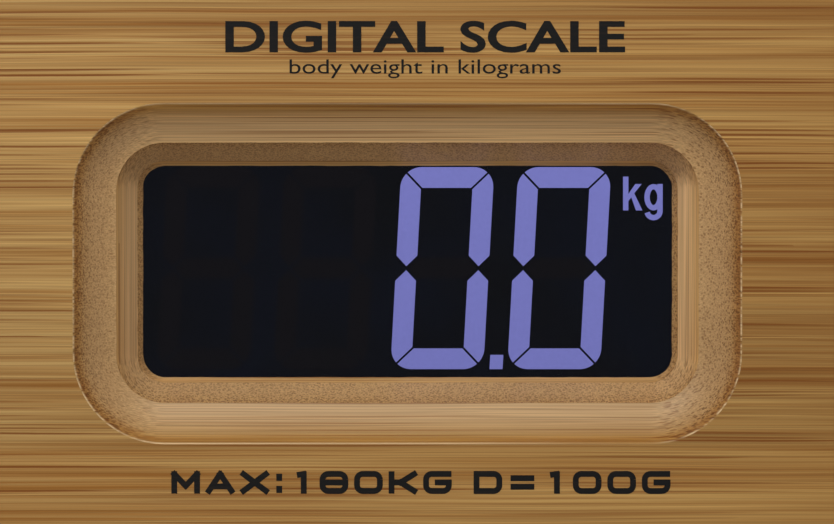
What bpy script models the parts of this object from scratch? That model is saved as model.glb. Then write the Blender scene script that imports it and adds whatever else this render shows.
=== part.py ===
# A bamboo bathroom scale: a three-ply board on four weighing feet, with its display,
# batteries and unit button in a plastic tray that is let into the underside.
# The origin is on the floor under the middle of the board; +Y is the display's end.
import math

import bmesh
import bpy
from mathutils import Matrix, Vector

mm = 0.001

# Fits and travels
gap = 0.3 * mm                # between pieces that touch, nest or are glued
foot_travel = 0.5 * mm        # how far a foot sinks into its mount under load
button_travel = 0.5 * mm

# Board
board_width = 300 * mm
board_depth = 300 * mm
board_thickness = 15 * mm     # three equal plies and the two glue lines
board_corner = 25 * mm
board_edge = 2 * mm           # rounding of the top and bottom edges

# Display recess: a cove through the top ply, then a steeper slope down to the window
window_width = 75 * mm
window_depth = 30 * mm
window_corner = 3.2 * mm
recess_bank_x = 9.3 * mm      # from the window out to the recess's edge
recess_bank_y = 8.8 * mm
recess_corner = 12.7 * mm
cove_share = 0.62             # how much of the bank the cove takes
slope_share = 0.30            # how much the slope through the core ply takes
cove_start = math.radians(65)
cove_end = math.radians(17)
window_lip = 1.1 * mm         # what is left of the bottom ply over the lens
display_from_far_edge = 55 * mm

# Display stack, from the lens down to the tray's floor
lens_thickness = 1.2 * mm
lens_margin = 4.5 * mm        # lens past the window on each side
lcd_thickness = 2.2 * mm
lcd_margin = 2.5 * mm
guide_thickness = 1.6 * mm
board_pcb_thickness = 1.0 * mm
pcb_reach = 13 * mm           # from the frame back to the circuit board's near edge
frame_wall = 3 * mm
zebra_width = 2.2 * mm
zebra_inset = 2 * mm          # from the LCD's ends
led_length = 3 * mm
led_inset = 4 * mm            # from the light guide's sides
chip_radius = 5 * mm
chip_height = 1.4 * mm

# Tray
tray_half_width = 60 * mm
tray_past_display = 25 * mm   # from the display's middle to the tray's far wall
tray_before_display = 69 * mm
tray_wall = 1.8 * mm
tray_floor = 1.5 * mm
tray_corner = 6 * mm
boss_radius = 4 * mm
boss_inset = 6.5 * mm

# Batteries, two of size AAA side by side
cell_radius = 5.25 * mm
cell_length = 44.5 * mm
cell_gap = 1 * mm             # between the two cells
contact_room = 4 * mm         # at each end of the cells
tub_wall = 1.2 * mm
tub_from_display = 53 * mm    # from the display's middle back to the tub's middle
tub_shift = -19 * mm
door_thickness = 1.2 * mm
door_lap = 3 * mm
door_notch = 6 * mm           # radius of the finger notch
nipple_radius = 1.9 * mm
nipple_height = 1 * mm
cell_edge = 0.6 * mm
contact_thickness = 0.5 * mm
contact_width = 8 * mm
contact_over_door = 2 * mm    # from the door up to a contact plate
contact_over_cell = 4 * mm    # from the cells' middle up to the plate's end
spring_wire = 0.3 * mm        # radius
spring_base = 3.4 * mm        # radius of the first turn
spring_taper = 1.2 * mm
spring_turns = 3

# Unit button
button_x = 32 * mm
button_radius = 5 * mm
button_flange = 1.6 * mm
button_flange_thickness = 0.8 * mm
button_edge = 0.4 * mm
switch_size = 6 * mm
switch_height = 3 * mm
plunger_radius = 1.7 * mm
plunger_reach = 1 * mm        # into the switch
switch_board_size = 18 * mm

# Feet
foot_inset = 42 * mm          # foot centre from each edge of the board
pad_radius = 20 * mm
pad_thickness = 2 * mm
pad_proud = 1.2 * mm          # how far the pad stands out below the cup
pad_edge = 0.6 * mm
cup_wall = 2.7 * mm
cup_base = 1.9 * mm
cup_boss_radius = 5 * mm
cup_boss_rise = 0.4 * mm
hook_thickness = 1.0 * mm
hook_reach = 3 * mm
mount_lip = 1.2 * mm
mount_wall = 2.4 * mm
mount_top = 1.2 * mm
mount_relief = 9 * mm
mount_skirt = 1 * mm          # how far the mount's lower wall stands out past its pocket
mount_slot = 5 * mm           # the wires' way out
mount_flange = 8 * mm
mount_flange_thickness = 1.2 * mm
cell_plate = 34 * mm
cell_plate_thickness = 2.5 * mm
cell_plate_corner = 2 * mm
cell_slot = 1.6 * mm
cell_end = 7 * mm             # from the plate's ends to the slots
tongue_width = 12 * mm

# Screws
screw_radius = 1.3 * mm
screw_head_radius = 2.8 * mm
screw_head_height = 1.6 * mm
screw_head_edge = 0.8 * mm
screw_tip = 1 * mm
foot_screw_length = 5.6 * mm
tray_screw_length = 11 * mm

# Wires, three to each load cell, drawn as one sleeved bundle in a covered groove
wire_radius = 0.9 * mm
groove_width = 7 * mm
groove_depth = 3.3 * mm
groove_turn = -54 * mm        # the near feet's grooves turn this far behind the display
cover_thickness = 1 * mm

# Heights, worked out from the floor up through the foot
cup_recess = pad_thickness + gap
cup_base_top = cup_recess + cup_base
lip_bottom = cup_base_top + foot_travel + gap
lip_top = lip_bottom + mount_lip
hook_bottom = lip_top + gap
hook_top = hook_bottom + hook_thickness
cup_boss_top = hook_top + cup_boss_rise
cell_plate_bottom = cup_boss_top + foot_travel + gap
cell_plate_top = cell_plate_bottom + cell_plate_thickness
mount_top_bottom = cell_plate_top + gap
mount_top_top = mount_top_bottom + mount_top
core_bottom = mount_top_top + gap

ply_thickness = (board_thickness - 2 * gap) / 3
bottom_top = core_bottom - gap
board_bottom = bottom_top - ply_thickness
core_top = core_bottom + ply_thickness
top_bottom = core_top + gap
board_top = top_bottom + ply_thickness

# Heights down through the display
ledge = bottom_top - window_lip
lens_top = ledge - gap
lens_bottom = lens_top - lens_thickness
lcd_top = lens_bottom - gap
lcd_bottom = lcd_top - lcd_thickness
guide_top = lcd_bottom - gap
guide_bottom = guide_top - guide_thickness
pcb_top = guide_bottom - gap
pcb_bottom = pcb_top - board_pcb_thickness
tray_floor_top = pcb_bottom - gap
tray_bottom = tray_floor_top - tray_floor

# Plan positions
cell_pitch = 2 * cell_radius + cell_gap
display_y = board_depth / 2 - display_from_far_edge
tray_far = display_y + tray_past_display
tray_near = display_y - tray_before_display
tray_middle = (tray_far + tray_near) / 2
tray_length = tray_far - tray_near
foot_x = board_width / 2 - foot_inset
foot_y = board_depth / 2 - foot_inset
tub_y = display_y - tub_from_display
tub_half_x = cell_length / 2 + contact_room
tub_half_y = (cell_pitch + 2 * cell_radius) / 2 + gap
cell_middle = tray_bottom + door_thickness + gap + cell_radius
tub_top = cell_middle + cell_radius + gap + tub_wall
pocket_radius = cell_plate / math.sqrt(2) + 2 * gap + mount_wall + gap
groove_top = board_bottom + groove_depth
wire_height = board_bottom + cover_thickness + gap + wire_radius
foot_screw_ring = pocket_radius + mount_flange / 2

corners = {"far_left": (-1, 1), "far_right": (1, 1), "near_left": (-1, -1), "near_right": (1, -1)}


def clear_scene():
    for thing in list(bpy.data.objects):
        bpy.data.objects.remove(thing, do_unlink=True)


def new_collection(name):
    group = bpy.data.collections.new(name)
    bpy.context.scene.collection.children.link(group)
    return group


def new_material(name, colour, roughness, metallic=0.0):
    material = bpy.data.materials.new(name)
    material.use_nodes = True
    shader = material.node_tree.nodes["Principled BSDF"]
    shader.inputs["Base Color"].default_value = (*colour, 1)
    shader.inputs["Roughness"].default_value = roughness
    shader.inputs["Metallic"].default_value = metallic
    material.diffuse_color = (*colour, 1)
    return material


def place(name, bm, material=None):
    # A piece goes in the parts' collection with its material, a cutter in the other.
    mesh = bpy.data.meshes.new(name)
    bm.to_mesh(mesh)
    bm.free()
    return place_mesh(name, mesh, material)


def place_mesh(name, mesh, material=None):
    thing = bpy.data.objects.new(name, mesh)
    if material:
        mesh.materials.append(material)
        parts.objects.link(thing)
    else:
        cutters.objects.link(thing)
        thing.hide_render = True
        thing.display_type = "WIRE"
    return thing


def set_origin(thing, point):
    # Moves the origin to a joint's axis and leaves the shape where it is.
    thing.data.transform(Matrix.Translation(-Vector(point)))
    thing.location = point


def block(name, low, high, material=None, corner=0, top_edge=0, bottom_edge=0, steps=5):
    # An upright box between two opposite corners, with round vertical and outer edges.
    low = Vector(low)
    high = Vector(high)
    bm = bmesh.new()
    bmesh.ops.create_cube(bm, size=1)
    bmesh.ops.scale(bm, vec=high - low, verts=bm.verts)
    bmesh.ops.translate(bm, vec=(low + high) / 2, verts=bm.verts)
    if corner:
        upright = [edge for edge in bm.edges if abs(edge.verts[0].co.z - edge.verts[1].co.z) > gap]
        bmesh.ops.bevel(bm, geom=upright, offset=corner, segments=steps, profile=0.5, affect="EDGES")
    for height, radius in ((high.z, top_edge), (low.z, bottom_edge)):
        if radius:
            rim = [edge for edge in bm.edges if all(abs(v.co.z - height) < 1e-6 for v in edge.verts)]
            bmesh.ops.bevel(bm, geom=rim, offset=radius, segments=2, profile=0.5, affect="EDGES")
    return place(name, bm, material)


def cylinder(name, middle, radius, low, high, material=None, steps=24):
    bm = bmesh.new()
    bmesh.ops.create_cone(bm, cap_ends=True, segments=steps, radius1=radius, radius2=radius, depth=high - low)
    bmesh.ops.translate(bm, vec=(middle[0], middle[1], (low + high) / 2), verts=bm.verts)
    return place(name, bm, material)


def turned(name, profile, place_at, material, steps=24, closed=False):
    # The profile is (radius, height) pairs, down the outer side; closed makes a ring.
    mesh = bpy.data.meshes.new(name)
    last = len(profile) - 1
    edges = [(index, index + 1) for index in range(last)]
    if closed:
        edges.append((last, 0))
    mesh.from_pydata([(radius, 0, height) for radius, height in profile], edges, [])
    thing = place_mesh(name, mesh, material)
    thing.location = place_at
    screw = thing.modifiers.new("turn", "SCREW")
    screw.steps = steps
    screw.render_steps = steps
    screw.use_merge_vertices = True
    screw.merge_threshold = 0.00005
    screw.use_smooth_shade = True
    return thing


def outline_band(name, path, width, low, high, material=None):
    # A flat strip of one width along a path of points in plan, mitred where it turns.
    left = []
    right = []
    points = [Vector(point) for point in path]
    for index, point in enumerate(points):
        before = (point - points[index - 1]).normalized() if index else None
        after = (points[index + 1] - point).normalized() if index < len(points) - 1 else None
        along = ((before or after) + (after or before)).normalized()
        across = Vector((-along.y, along.x))
        stretch = 1 / max(0.5, along.dot(after or before))
        left.append(point + across * stretch * width / 2)
        right.append(point - across * stretch * width / 2)
    bm = bmesh.new()
    ring = [bm.verts.new((point.x, point.y, low)) for point in right + left[::-1]]
    face = bm.faces.new(ring)
    raised = bmesh.ops.extrude_face_region(bm, geom=[face])["geom"]
    top = [item for item in raised if isinstance(item, bmesh.types.BMVert)]
    bmesh.ops.translate(bm, vec=(0, 0, high - low), verts=top)
    bmesh.ops.recalc_face_normals(bm, faces=bm.faces)
    return place(name, bm, material)


def rounded_outline(half_x, half_y, radius, steps=6):
    points = []
    for quarter, (side_x, side_y) in enumerate(((1, 1), (-1, 1), (-1, -1), (1, -1))):
        for step in range(steps + 1):
            turn = math.radians(90) * (quarter + step / steps)
            points.append((
                side_x * (half_x - radius) + radius * math.cos(turn),
                side_y * (half_y - radius) + radius * math.sin(turn),
            ))
    return points


def loft(name, middle, sections, material=None):
    # A solid through outlines of the same number of points, listed from the lowest up.
    bm = bmesh.new()
    rings = []
    for outline, height in sections:
        rings.append([bm.verts.new((middle[0] + x, middle[1] + y, height)) for x, y in outline])
    bm.faces.new(rings[0][::-1])
    bm.faces.new(rings[-1])
    for lower, upper in zip(rings, rings[1:]):
        for index, corner in enumerate(lower):
            after = (index + 1) % len(lower)
            bm.faces.new((corner, lower[after], upper[after], upper[index]))
    return place(name, bm, material)


def tube(name, route, radius, material, spacing):
    # A round bundle along a smooth curve through the route's points.
    points = smooth_route(route, spacing)
    curve = bpy.data.curves.new(name, "CURVE")
    curve.dimensions = "3D"
    curve.bevel_depth = radius
    curve.bevel_resolution = 2
    curve.use_fill_caps = True
    spline = curve.splines.new("POLY")
    spline.points.add(len(points) - 1)
    for corner, point in zip(spline.points, points):
        corner.co = (*point, 1)
    curve.materials.append(material)
    thing = bpy.data.objects.new(name, curve)
    parts.objects.link(thing)
    return thing


def smooth_route(route, spacing):
    # A Catmull-Rom curve through the points, read about every spacing.
    points = [Vector(point) for point in route]
    points = [2 * points[0] - points[1], *points, 2 * points[-1] - points[-2]]
    smooth = []
    for index in range(1, len(points) - 2):
        before, start, end, after = points[index - 1:index + 3]
        count = max(1, round((end - start).length / spacing))
        for step in range(count):
            t = step / count
            smooth.append(0.5 * (
                2 * start + (end - before) * t
                + (2 * before - 5 * start + 4 * end - after) * t ** 2
                + (3 * start - before - 3 * end + after) * t ** 3
            ))
    smooth.append(points[-2])
    return smooth


def boolean(thing, other, operation):
    modifier = thing.modifiers.new(other.name, "BOOLEAN")
    modifier.object = other
    modifier.operation = operation
    modifier.solver = "EXACT"


def cut(thing, *tools):
    for tool in tools:
        boolean(thing, tool, "DIFFERENCE")


def join(thing, *others):
    for other in others:
        boolean(thing, other, "UNION")


def grow(low, high, amount):
    # The two corners of a box, moved out by an amount in plan.
    return ((low[0] - amount, low[1] - amount, low[2]), (high[0] + amount, high[1] + amount, high[2]))


def make_materials():
    return {
        "bamboo": new_material("bamboo", (0.34, 0.19, 0.07), 0.5),
        "lens": new_material("smoked_acrylic", (0.01, 0.01, 0.012), 0.1),
        "glass": new_material("lcd_glass", (0.02, 0.02, 0.03), 0.1),
        "acrylic": new_material("clear_acrylic", (0.8, 0.8, 0.85), 0.3),
        "white": new_material("white_plastic", (0.75, 0.75, 0.72), 0.5),
        "black": new_material("black_plastic", (0.03, 0.03, 0.03), 0.5),
        "rubber": new_material("rubber", (0.05, 0.05, 0.05), 0.9),
        "steel": new_material("plated_steel", (0.6, 0.6, 0.58), 0.35, 1.0),
        "board": new_material("circuit_board", (0.02, 0.18, 0.06), 0.5),
        "cell": new_material("battery_jacket", (0.1, 0.1, 0.11), 0.4),
        "wire": new_material("wire_sleeve", (0.5, 0.03, 0.03), 0.5),
    }


def make_recess_cutter():
    # How far down the bank each share of its width lies, from the window outwards.
    cove_depth = board_top - (core_top + gap / 2)
    steps = 5
    bank = [(1.0, ledge), (cove_share + slope_share, core_bottom - gap / 2)]
    for step in range(steps, -1, -1):
        slope = cove_start + (cove_end - cove_start) * step / steps
        across = (math.sin(cove_start) - math.sin(slope)) / (math.sin(cove_start) - math.sin(cove_end))
        down = (math.cos(slope) - math.cos(cove_start)) / (math.cos(cove_end) - math.cos(cove_start))
        bank.append((across * cove_share, board_top - down * cove_depth))
    sections = [(recess_outline(1.0), ledge - 5 * gap)]
    sections += [(recess_outline(share), height) for share, height in bank]
    sections.append((recess_outline(0.0), board_top + 5 * gap))
    return loft("recess_cutter", (0, display_y), sections)


def recess_outline(share):
    # Share 0 is the recess's edge in the board's top, 1 is the window.
    return rounded_outline(
        window_width / 2 + (1 - share) * recess_bank_x,
        window_depth / 2 + (1 - share) * recess_bank_y,
        recess_corner + share * (window_corner - recess_corner),
    )


def tray_box():
    return ((-tray_half_width, tray_near, tray_bottom), (tray_half_width, tray_far, lens_top))


def tub_box():
    return (
        (tub_shift - tub_half_x, tub_y - tub_half_y, tray_bottom),
        (tub_shift + tub_half_x, tub_y + tub_half_y, tub_top - tub_wall),
    )


def tray_screw_places():
    return [
        (side_x * (tray_half_width - boss_inset), tray_middle + side_y * (tray_length / 2 - boss_inset))
        for side_x, side_y in corners.values()
    ]


def foot_places():
    return {name: (side_x * foot_x, side_y * foot_y) for name, (side_x, side_y) in corners.items()}


def foot_screw_places(foot):
    # Two screws on the diagonal that crosses the board's corner.
    turn = math.radians(45) if foot[0] * foot[1] < 0 else math.radians(135)
    offset = Vector((math.cos(turn), math.sin(turn))) * foot_screw_ring
    return [(foot[0] - offset.x, foot[1] - offset.y), (foot[0] + offset.x, foot[1] + offset.y)]


def groove_path(name):
    # From inside the foot's pocket to inside the tray's wall, in plan.
    side_x, side_y = corners[name]
    tray_side = side_x * (tray_half_width - tray_wall)
    if side_y > 0:
        return [(side_x * (foot_x - pocket_radius + 5 * gap), foot_y), (tray_side, foot_y)]
    turn_y = display_y + groove_turn
    start = (side_x * foot_x, -foot_y + pocket_radius - 5 * gap)
    return [start, (side_x * foot_x, turn_y), (tray_side, turn_y)]


def make_board(look):
    recess = make_recess_cutter()
    half = (board_width / 2, board_depth / 2)
    shared = {"material": look["bamboo"], "corner": board_corner}
    top = block("top_ply", (-half[0], -half[1], top_bottom), (half[0], half[1], board_top),
                top_edge=board_edge, **shared)
    core = block("core_ply", (-half[0], -half[1], core_bottom), (half[0], half[1], core_top), **shared)
    bottom = block("bottom_ply", (-half[0], -half[1], board_bottom), (half[0], half[1], bottom_top),
                   bottom_edge=board_edge, **shared)
    for ply in (top, core, bottom):
        cut(ply, recess)
    below = board_bottom - 5 * gap
    low, high = grow(*tray_box(), gap)
    tray_pocket = block("tray_pocket_cutter", (low[0], low[1], below), (high[0], high[1], ledge),
                        corner=tray_corner + gap)
    low, high = grow(*tub_box(), tub_wall + gap)
    tub_pocket = block("tub_pocket_cutter", (low[0], low[1], below), (high[0], high[1], tub_top + gap),
                       corner=1 * mm, steps=2)
    cut(bottom, tray_pocket)
    for ply in (top, core, bottom):
        cut(ply, tub_pocket)
    for name, foot in foot_places().items():
        pocket = cylinder(name + "_pocket_cutter", foot, pocket_radius, below, bottom_top + gap / 2, steps=32)
        groove = outline_band(name + "_groove_cutter", groove_path(name), groove_width, below, groove_top)
        cut(bottom, pocket, groove)
        for index, spot in enumerate(foot_screw_places(foot)):
            pilot = cylinder(f"{name}_pilot_cutter_{index}", spot, screw_radius + gap,
                             below, bottom_top + gap / 2, steps=10)
            cut(bottom, pilot)
    for index, spot in enumerate(tray_screw_places()):
        pilot = cylinder(f"tray_pilot_cutter_{index}", spot, screw_radius + gap,
                         below, core_top - 3 * gap, steps=10)
        cut(bottom, pilot)
        cut(core, pilot)


def centred(name, half_x, half_y, low, high, material, shift_y=0, corner=0):
    # A plate centred under the window.
    middle_y = display_y + shift_y
    return block(name, (-half_x, middle_y - half_y, low), (half_x, middle_y + half_y, high), material, corner)


def make_display(look):
    half_x = window_width / 2
    half_y = window_depth / 2
    lcd_x = half_x + lcd_margin
    lcd_y = half_y + lcd_margin
    centred("display_lens", half_x + lens_margin, half_y + lens_margin, lens_bottom, lens_top, look["lens"],
            corner=2 * mm)
    centred("lcd_panel", lcd_x, lcd_y, lcd_bottom, lcd_top, look["glass"])
    # The contact strip stands under the LCD's near edge, and the light guide fills the rest.
    strip_y = -lcd_y + zebra_width / 2
    centred("zebra_strip", lcd_x - zebra_inset, zebra_width / 2, guide_bottom, guide_top, look["rubber"],
            shift_y=strip_y)
    guide_y = lcd_y - (zebra_width + gap) / 2
    guide_shift = (zebra_width + gap) / 2
    guide_near = display_y + guide_shift - guide_y
    guide_far = display_y + guide_shift + guide_y
    block("light_guide", (-lcd_x + led_length + gap, guide_near, guide_bottom), (lcd_x, guide_far, guide_top),
          look["acrylic"])
    block("backlight_led", (-lcd_x, guide_near + led_inset, guide_bottom),
          (-lcd_x + led_length, guide_far - led_inset, guide_top), look["white"])
    frame = centred("backlight_frame", lcd_x + frame_wall, lcd_y + frame_wall, guide_bottom, lcd_top,
                    look["white"], corner=1 * mm)
    hole = centred("frame_cutter", lcd_x + gap, lcd_y + gap, guide_bottom - gap, lcd_top + gap, None)
    cut(frame, hole)
    make_circuit_board(look, lcd_x, lcd_y)


def pcb_near(lcd_y):
    # The board reaches back past the frame to carry the chip and the wires.
    return display_y - lcd_y - frame_wall - pcb_reach


def make_circuit_board(look, lcd_x, lcd_y):
    near = pcb_near(lcd_y)
    far = display_y + lcd_y + frame_wall
    block("circuit_board", (-lcd_x - frame_wall, near, pcb_bottom), (lcd_x + frame_wall, far, pcb_top),
          look["board"])
    base = pcb_top + gap
    profile = [(0, base + chip_height)]
    for step in range(1, 4):
        turn = math.radians(30 * step)
        profile.append((chip_radius * math.sin(turn), base + chip_height * math.cos(turn)))
    profile.append((0, base))
    turned("controller_chip", profile, (0, near + chip_radius + mm, 0), look["black"], steps=16)


def make_tray(look):
    low, high = tray_box()
    tray = block("electronics_tray", low, high, look["white"], corner=tray_corner, bottom_edge=1 * mm)
    inner_low, inner_high = grow(low, high, -tray_wall)
    hollow = block("tray_hollow_cutter", (inner_low[0], inner_low[1], tray_floor_top),
                   (inner_high[0], inner_high[1], lens_top + gap), corner=tray_corner - tray_wall)
    cut(tray, hollow)
    tub_low, tub_high = tub_box()
    wall_low, wall_high = grow(tub_low, tub_high, tub_wall)
    tub = block("tub_joiner", (wall_low[0], wall_low[1], tray_floor_top - tray_floor / 2),
                (wall_high[0], wall_high[1], tub_top))
    join(tray, tub)
    room = block("tub_room_cutter", (tub_low[0], tub_low[1], tray_bottom - gap), tub_high)
    rebate_low, rebate_high = grow(tub_low, tub_high, door_lap)
    rebate = block("door_rebate_cutter", (rebate_low[0], rebate_low[1], tray_bottom - gap),
                   (rebate_high[0], rebate_high[1], tray_bottom + door_thickness + gap))
    stop_low, stop_high = grow(tub_low, tub_high, door_lap + tub_wall)
    seat = block("door_seat_joiner", (stop_low[0], stop_low[1], tray_floor_top - tray_floor / 2),
                 (stop_high[0], stop_high[1], tray_bottom + door_thickness + gap + tub_wall))
    join(tray, seat)
    cut(tray, rebate, room)
    for index, spot in enumerate(tray_screw_places()):
        boss = cylinder(f"tray_boss_joiner_{index}", spot, boss_radius, tray_floor_top - tray_floor / 2,
                        lens_top, steps=20)
        join(tray, boss)
    for index, spot in enumerate(tray_screw_places()):
        head = cylinder(f"tray_head_cutter_{index}", spot, screw_head_radius + gap, tray_bottom - gap,
                        tray_head_seat(), steps=16)
        hole = cylinder(f"tray_hole_cutter_{index}", spot, screw_radius + gap, tray_bottom - gap,
                        lens_top + gap, steps=12)
        cut(tray, head, hole)
    for name in corners:
        slot = outline_band(name + "_slot_cutter", widen_path(groove_path(name)[-2:]),
                            groove_width - 4 * gap, board_bottom + cover_thickness, lens_top + gap)
        cut(tray, slot)
    button_hole = cylinder("button_hole_cutter", (button_x, tub_y), button_radius + gap, tray_bottom - gap,
                           tray_floor_top + gap, steps=24)
    cut(tray, button_hole)


def widen_path(path):
    # The last stretch of a groove, carried on through the tray's wall.
    start = Vector(path[0])
    end = Vector(path[1])
    along = (end - start).normalized()
    return [end - along * (tray_wall + 2 * mm), end + along * 2 * mm]


def tray_head_seat():
    return tray_bottom + screw_head_height + 3 * gap


def make_battery_door(look):
    low, high = tub_box()
    low, high = grow(low, high, door_lap - gap)
    door = block("battery_door", (low[0], low[1], tray_bottom),
                 (high[0], high[1], tray_bottom + door_thickness), look["white"])
    # A finger notch in the edge away from the hinge.
    notch = cylinder("door_notch_cutter", ((low[0] + high[0]) / 2, high[1]), door_notch, tray_bottom - gap,
                     tray_bottom + door_thickness / 2, steps=20)
    cut(door, notch)
    set_origin(door, ((low[0] + high[0]) / 2, low[1], tray_bottom))


def make_batteries(look):
    body = cell_length - nipple_height
    end_radius = cell_radius - cell_edge
    profile = [
        (0, cell_length), (nipple_radius, cell_length), (nipple_radius, body), (end_radius, body),
        (cell_radius, body - cell_edge), (cell_radius, cell_edge), (end_radius, 0), (0, 0),
    ]
    for index, side in enumerate((1, -1)):
        # The two cells lie along X and point opposite ways.
        cell = turned(f"battery_{index + 1}", profile,
                      (tub_shift - side * cell_length / 2, tub_y + side * cell_pitch / 2, cell_middle),
                      look["cell"], steps=20)
        cell.rotation_euler = (0, side * math.radians(90), 0)


def make_contacts(look):
    wall = tub_half_x - gap
    width = contact_width
    low = tray_bottom + door_thickness + contact_over_door
    high = cell_middle + contact_over_cell
    plate = contact_thickness
    left = tub_shift - wall
    right = tub_shift + wall
    far = tub_y + cell_pitch / 2
    near = tub_y - cell_pitch / 2
    block("contact_link", (left, near - width / 2, low), (left + plate, far + width / 2, high), look["steel"])
    for name, middle_y in (("contact_minus", near), ("contact_plus", far)):
        block(name, (right - plate, middle_y - width / 2, low), (right, middle_y + width / 2, high), look["steel"])
    make_contact_spring("contact_spring_link", look, left + plate + gap, far, 1)
    make_contact_spring("contact_spring_minus", look, right - plate - gap, near, -1)


def make_contact_spring(name, look, start, middle_y, side):
    # A conical coil from the plate to the flat end of its battery, along X.
    room = contact_room - contact_thickness - 3 * gap
    steps = 10 * spring_turns
    points = []
    for step in range(steps + 1):
        share = step / steps
        turn = 2 * math.pi * spring_turns * share
        radius = spring_base - spring_taper * share
        points.append((
            start + side * (spring_wire + (room - 2 * spring_wire) * share),
            middle_y + radius * math.cos(turn),
            cell_middle + radius * math.sin(turn),
        ))
    curve = bpy.data.curves.new(name, "CURVE")
    curve.dimensions = "3D"
    curve.bevel_depth = spring_wire
    curve.bevel_resolution = 1
    curve.use_fill_caps = True
    spline = curve.splines.new("POLY")
    spline.points.add(len(points) - 1)
    for corner, point in zip(spline.points, points):
        corner.co = (*point, 1)
    curve.materials.append(look["steel"])
    parts.objects.link(bpy.data.objects.new(name, curve))


def make_unit_button(look):
    middle = (button_x, tub_y)
    flange_bottom = tray_floor_top + gap
    flange_top = flange_bottom + button_flange_thickness
    flange = button_radius + button_flange
    turned("unit_button", [
        (0, flange_top), (flange, flange_top), (flange, flange_bottom), (button_radius, flange_bottom),
        (button_radius, tray_bottom + button_edge), (button_radius - button_edge, tray_bottom),
        (0, tray_bottom),
    ], (*middle, 0), look["black"])
    plunger_bottom = flange_top + gap
    body_bottom = plunger_bottom + button_travel + gap
    body_top = body_bottom + switch_height
    plunger_top = body_bottom + plunger_reach
    cylinder("switch_plunger", middle, plunger_radius, plunger_bottom, plunger_top, look["black"], steps=14)
    half = switch_size / 2
    body = block("unit_switch", (button_x - half, tub_y - half, body_bottom),
                 (button_x + half, tub_y + half, body_top), look["steel"])
    bore = cylinder("plunger_bore_cutter", middle, plunger_radius + gap, body_bottom - gap,
                    plunger_top + button_travel + gap, steps=14)
    cut(body, bore)
    half = switch_board_size / 2
    block("switch_board", (button_x - half, tub_y - half, body_top + gap),
          (button_x + half, tub_y + half, body_top + gap + board_pcb_thickness), look["board"])


def make_screw(name, spot, head_bottom, length, look):
    head_top = head_bottom + screw_head_height
    tip = head_top + length
    turned(name, [
        (0, tip), (screw_radius * 0.6, tip - screw_tip / 5), (screw_radius, tip - screw_tip),
        (screw_radius, head_top), (screw_head_radius, head_top),
        (screw_head_radius, head_bottom + screw_head_edge * 0.6),
        (screw_head_radius - screw_head_edge, head_bottom), (0, head_bottom),
    ], (*spot, 0), look["steel"], steps=12)


def make_foot(name, foot, look):
    pocket = pocket_radius - gap
    cavity = pocket - mount_wall
    skirt = pocket + mount_skirt
    lip = pad_radius + 2 * gap
    flange = pocket_radius + mount_flange
    flange_top = board_bottom - gap
    flange_bottom = flange_top - mount_flange_thickness
    mount = turned("foot_mount_" + name, [
        (mount_relief, mount_top_top), (pocket, mount_top_top), (pocket, flange_top), (flange, flange_top),
        (flange, flange_bottom), (skirt, flange_bottom), (skirt, lip_bottom),
        (lip, lip_bottom), (lip, lip_top), (cavity, lip_top), (cavity, mount_top_bottom),
        (mount_relief, mount_top_bottom),
    ], (*foot, 0), look["black"], closed=True)
    direction = wire_direction(name)
    start = Vector(foot) + direction * (cavity - 2 * mm)
    end = Vector(foot) + direction * (pocket + 2 * mm)
    slot = outline_band(f"{name}_mount_slot_cutter", [start, end], mount_slot, board_bottom + cover_thickness,
                        mount_top_bottom - gap)
    cut(mount, slot)
    for index, spot in enumerate(foot_screw_places(foot)):
        hole = cylinder(f"{name}_flange_cutter_{index}", spot, screw_radius + gap, flange_bottom - gap,
                        flange_top + gap, steps=12)
        cut(mount, hole)
        head_bottom = flange_bottom - gap - screw_head_height
        make_screw(f"foot_screw_{name}_{index + 1}", spot, head_bottom, foot_screw_length, look)
    make_load_cell(name, foot, look)
    cup_radius = pad_radius + cup_wall + gap
    turned("foot_cup_" + name, [
        (0, cup_boss_top), (cup_boss_radius, cup_boss_top), (cup_boss_radius, cup_base_top),
        (pad_radius - cup_wall, cup_base_top), (pad_radius - cup_wall, hook_top),
        (pad_radius + hook_reach, hook_top), (pad_radius + hook_reach, hook_bottom),
        (pad_radius, hook_bottom), (pad_radius, cup_base_top), (cup_radius, cup_base_top),
        (cup_radius, pad_proud), (pad_radius + gap, pad_proud), (pad_radius + gap, cup_recess),
        (0, cup_recess),
    ], (*foot, 0), look["black"])
    turned("foot_pad_" + name, [
        (0, pad_thickness), (pad_radius, pad_thickness), (pad_radius, pad_edge), (pad_radius - pad_edge, 0),
        (0, 0),
    ], (*foot, 0), look["rubber"])


def make_load_cell(name, foot, look):
    # A stamped plate: a slot on three sides frees the tongue that the foot's boss bends.
    half = cell_plate / 2
    x, y = foot
    plate = block("load_cell_" + name, (x - half, y - half, cell_plate_bottom),
                  (x + half, y + half, cell_plate_top),
                  look["steel"], corner=cell_plate_corner)
    low = cell_plate_bottom - gap
    high = cell_plate_top + gap
    reach = half - cell_end
    side = tongue_width / 2
    slots = [
        ("left", (x - side - cell_slot, y - reach), (x - side, y + reach)),
        ("right", (x + side, y - reach), (x + side + cell_slot, y + reach)),
        ("end", (x - side - cell_slot / 2, y + reach - cell_slot), (x + side + cell_slot / 2, y + reach)),
    ]
    for label, corner_low, corner_high in slots:
        cut(plate, block(f"{name}_cell_{label}_cutter", (*corner_low, low), (*corner_high, high)))


def wire_direction(name):
    # The way a foot's wires leave it: far feet towards the tray, near feet along the side.
    side_x, side_y = corners[name]
    return Vector((-side_x, 0)) if side_y > 0 else Vector((0, 1))


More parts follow.
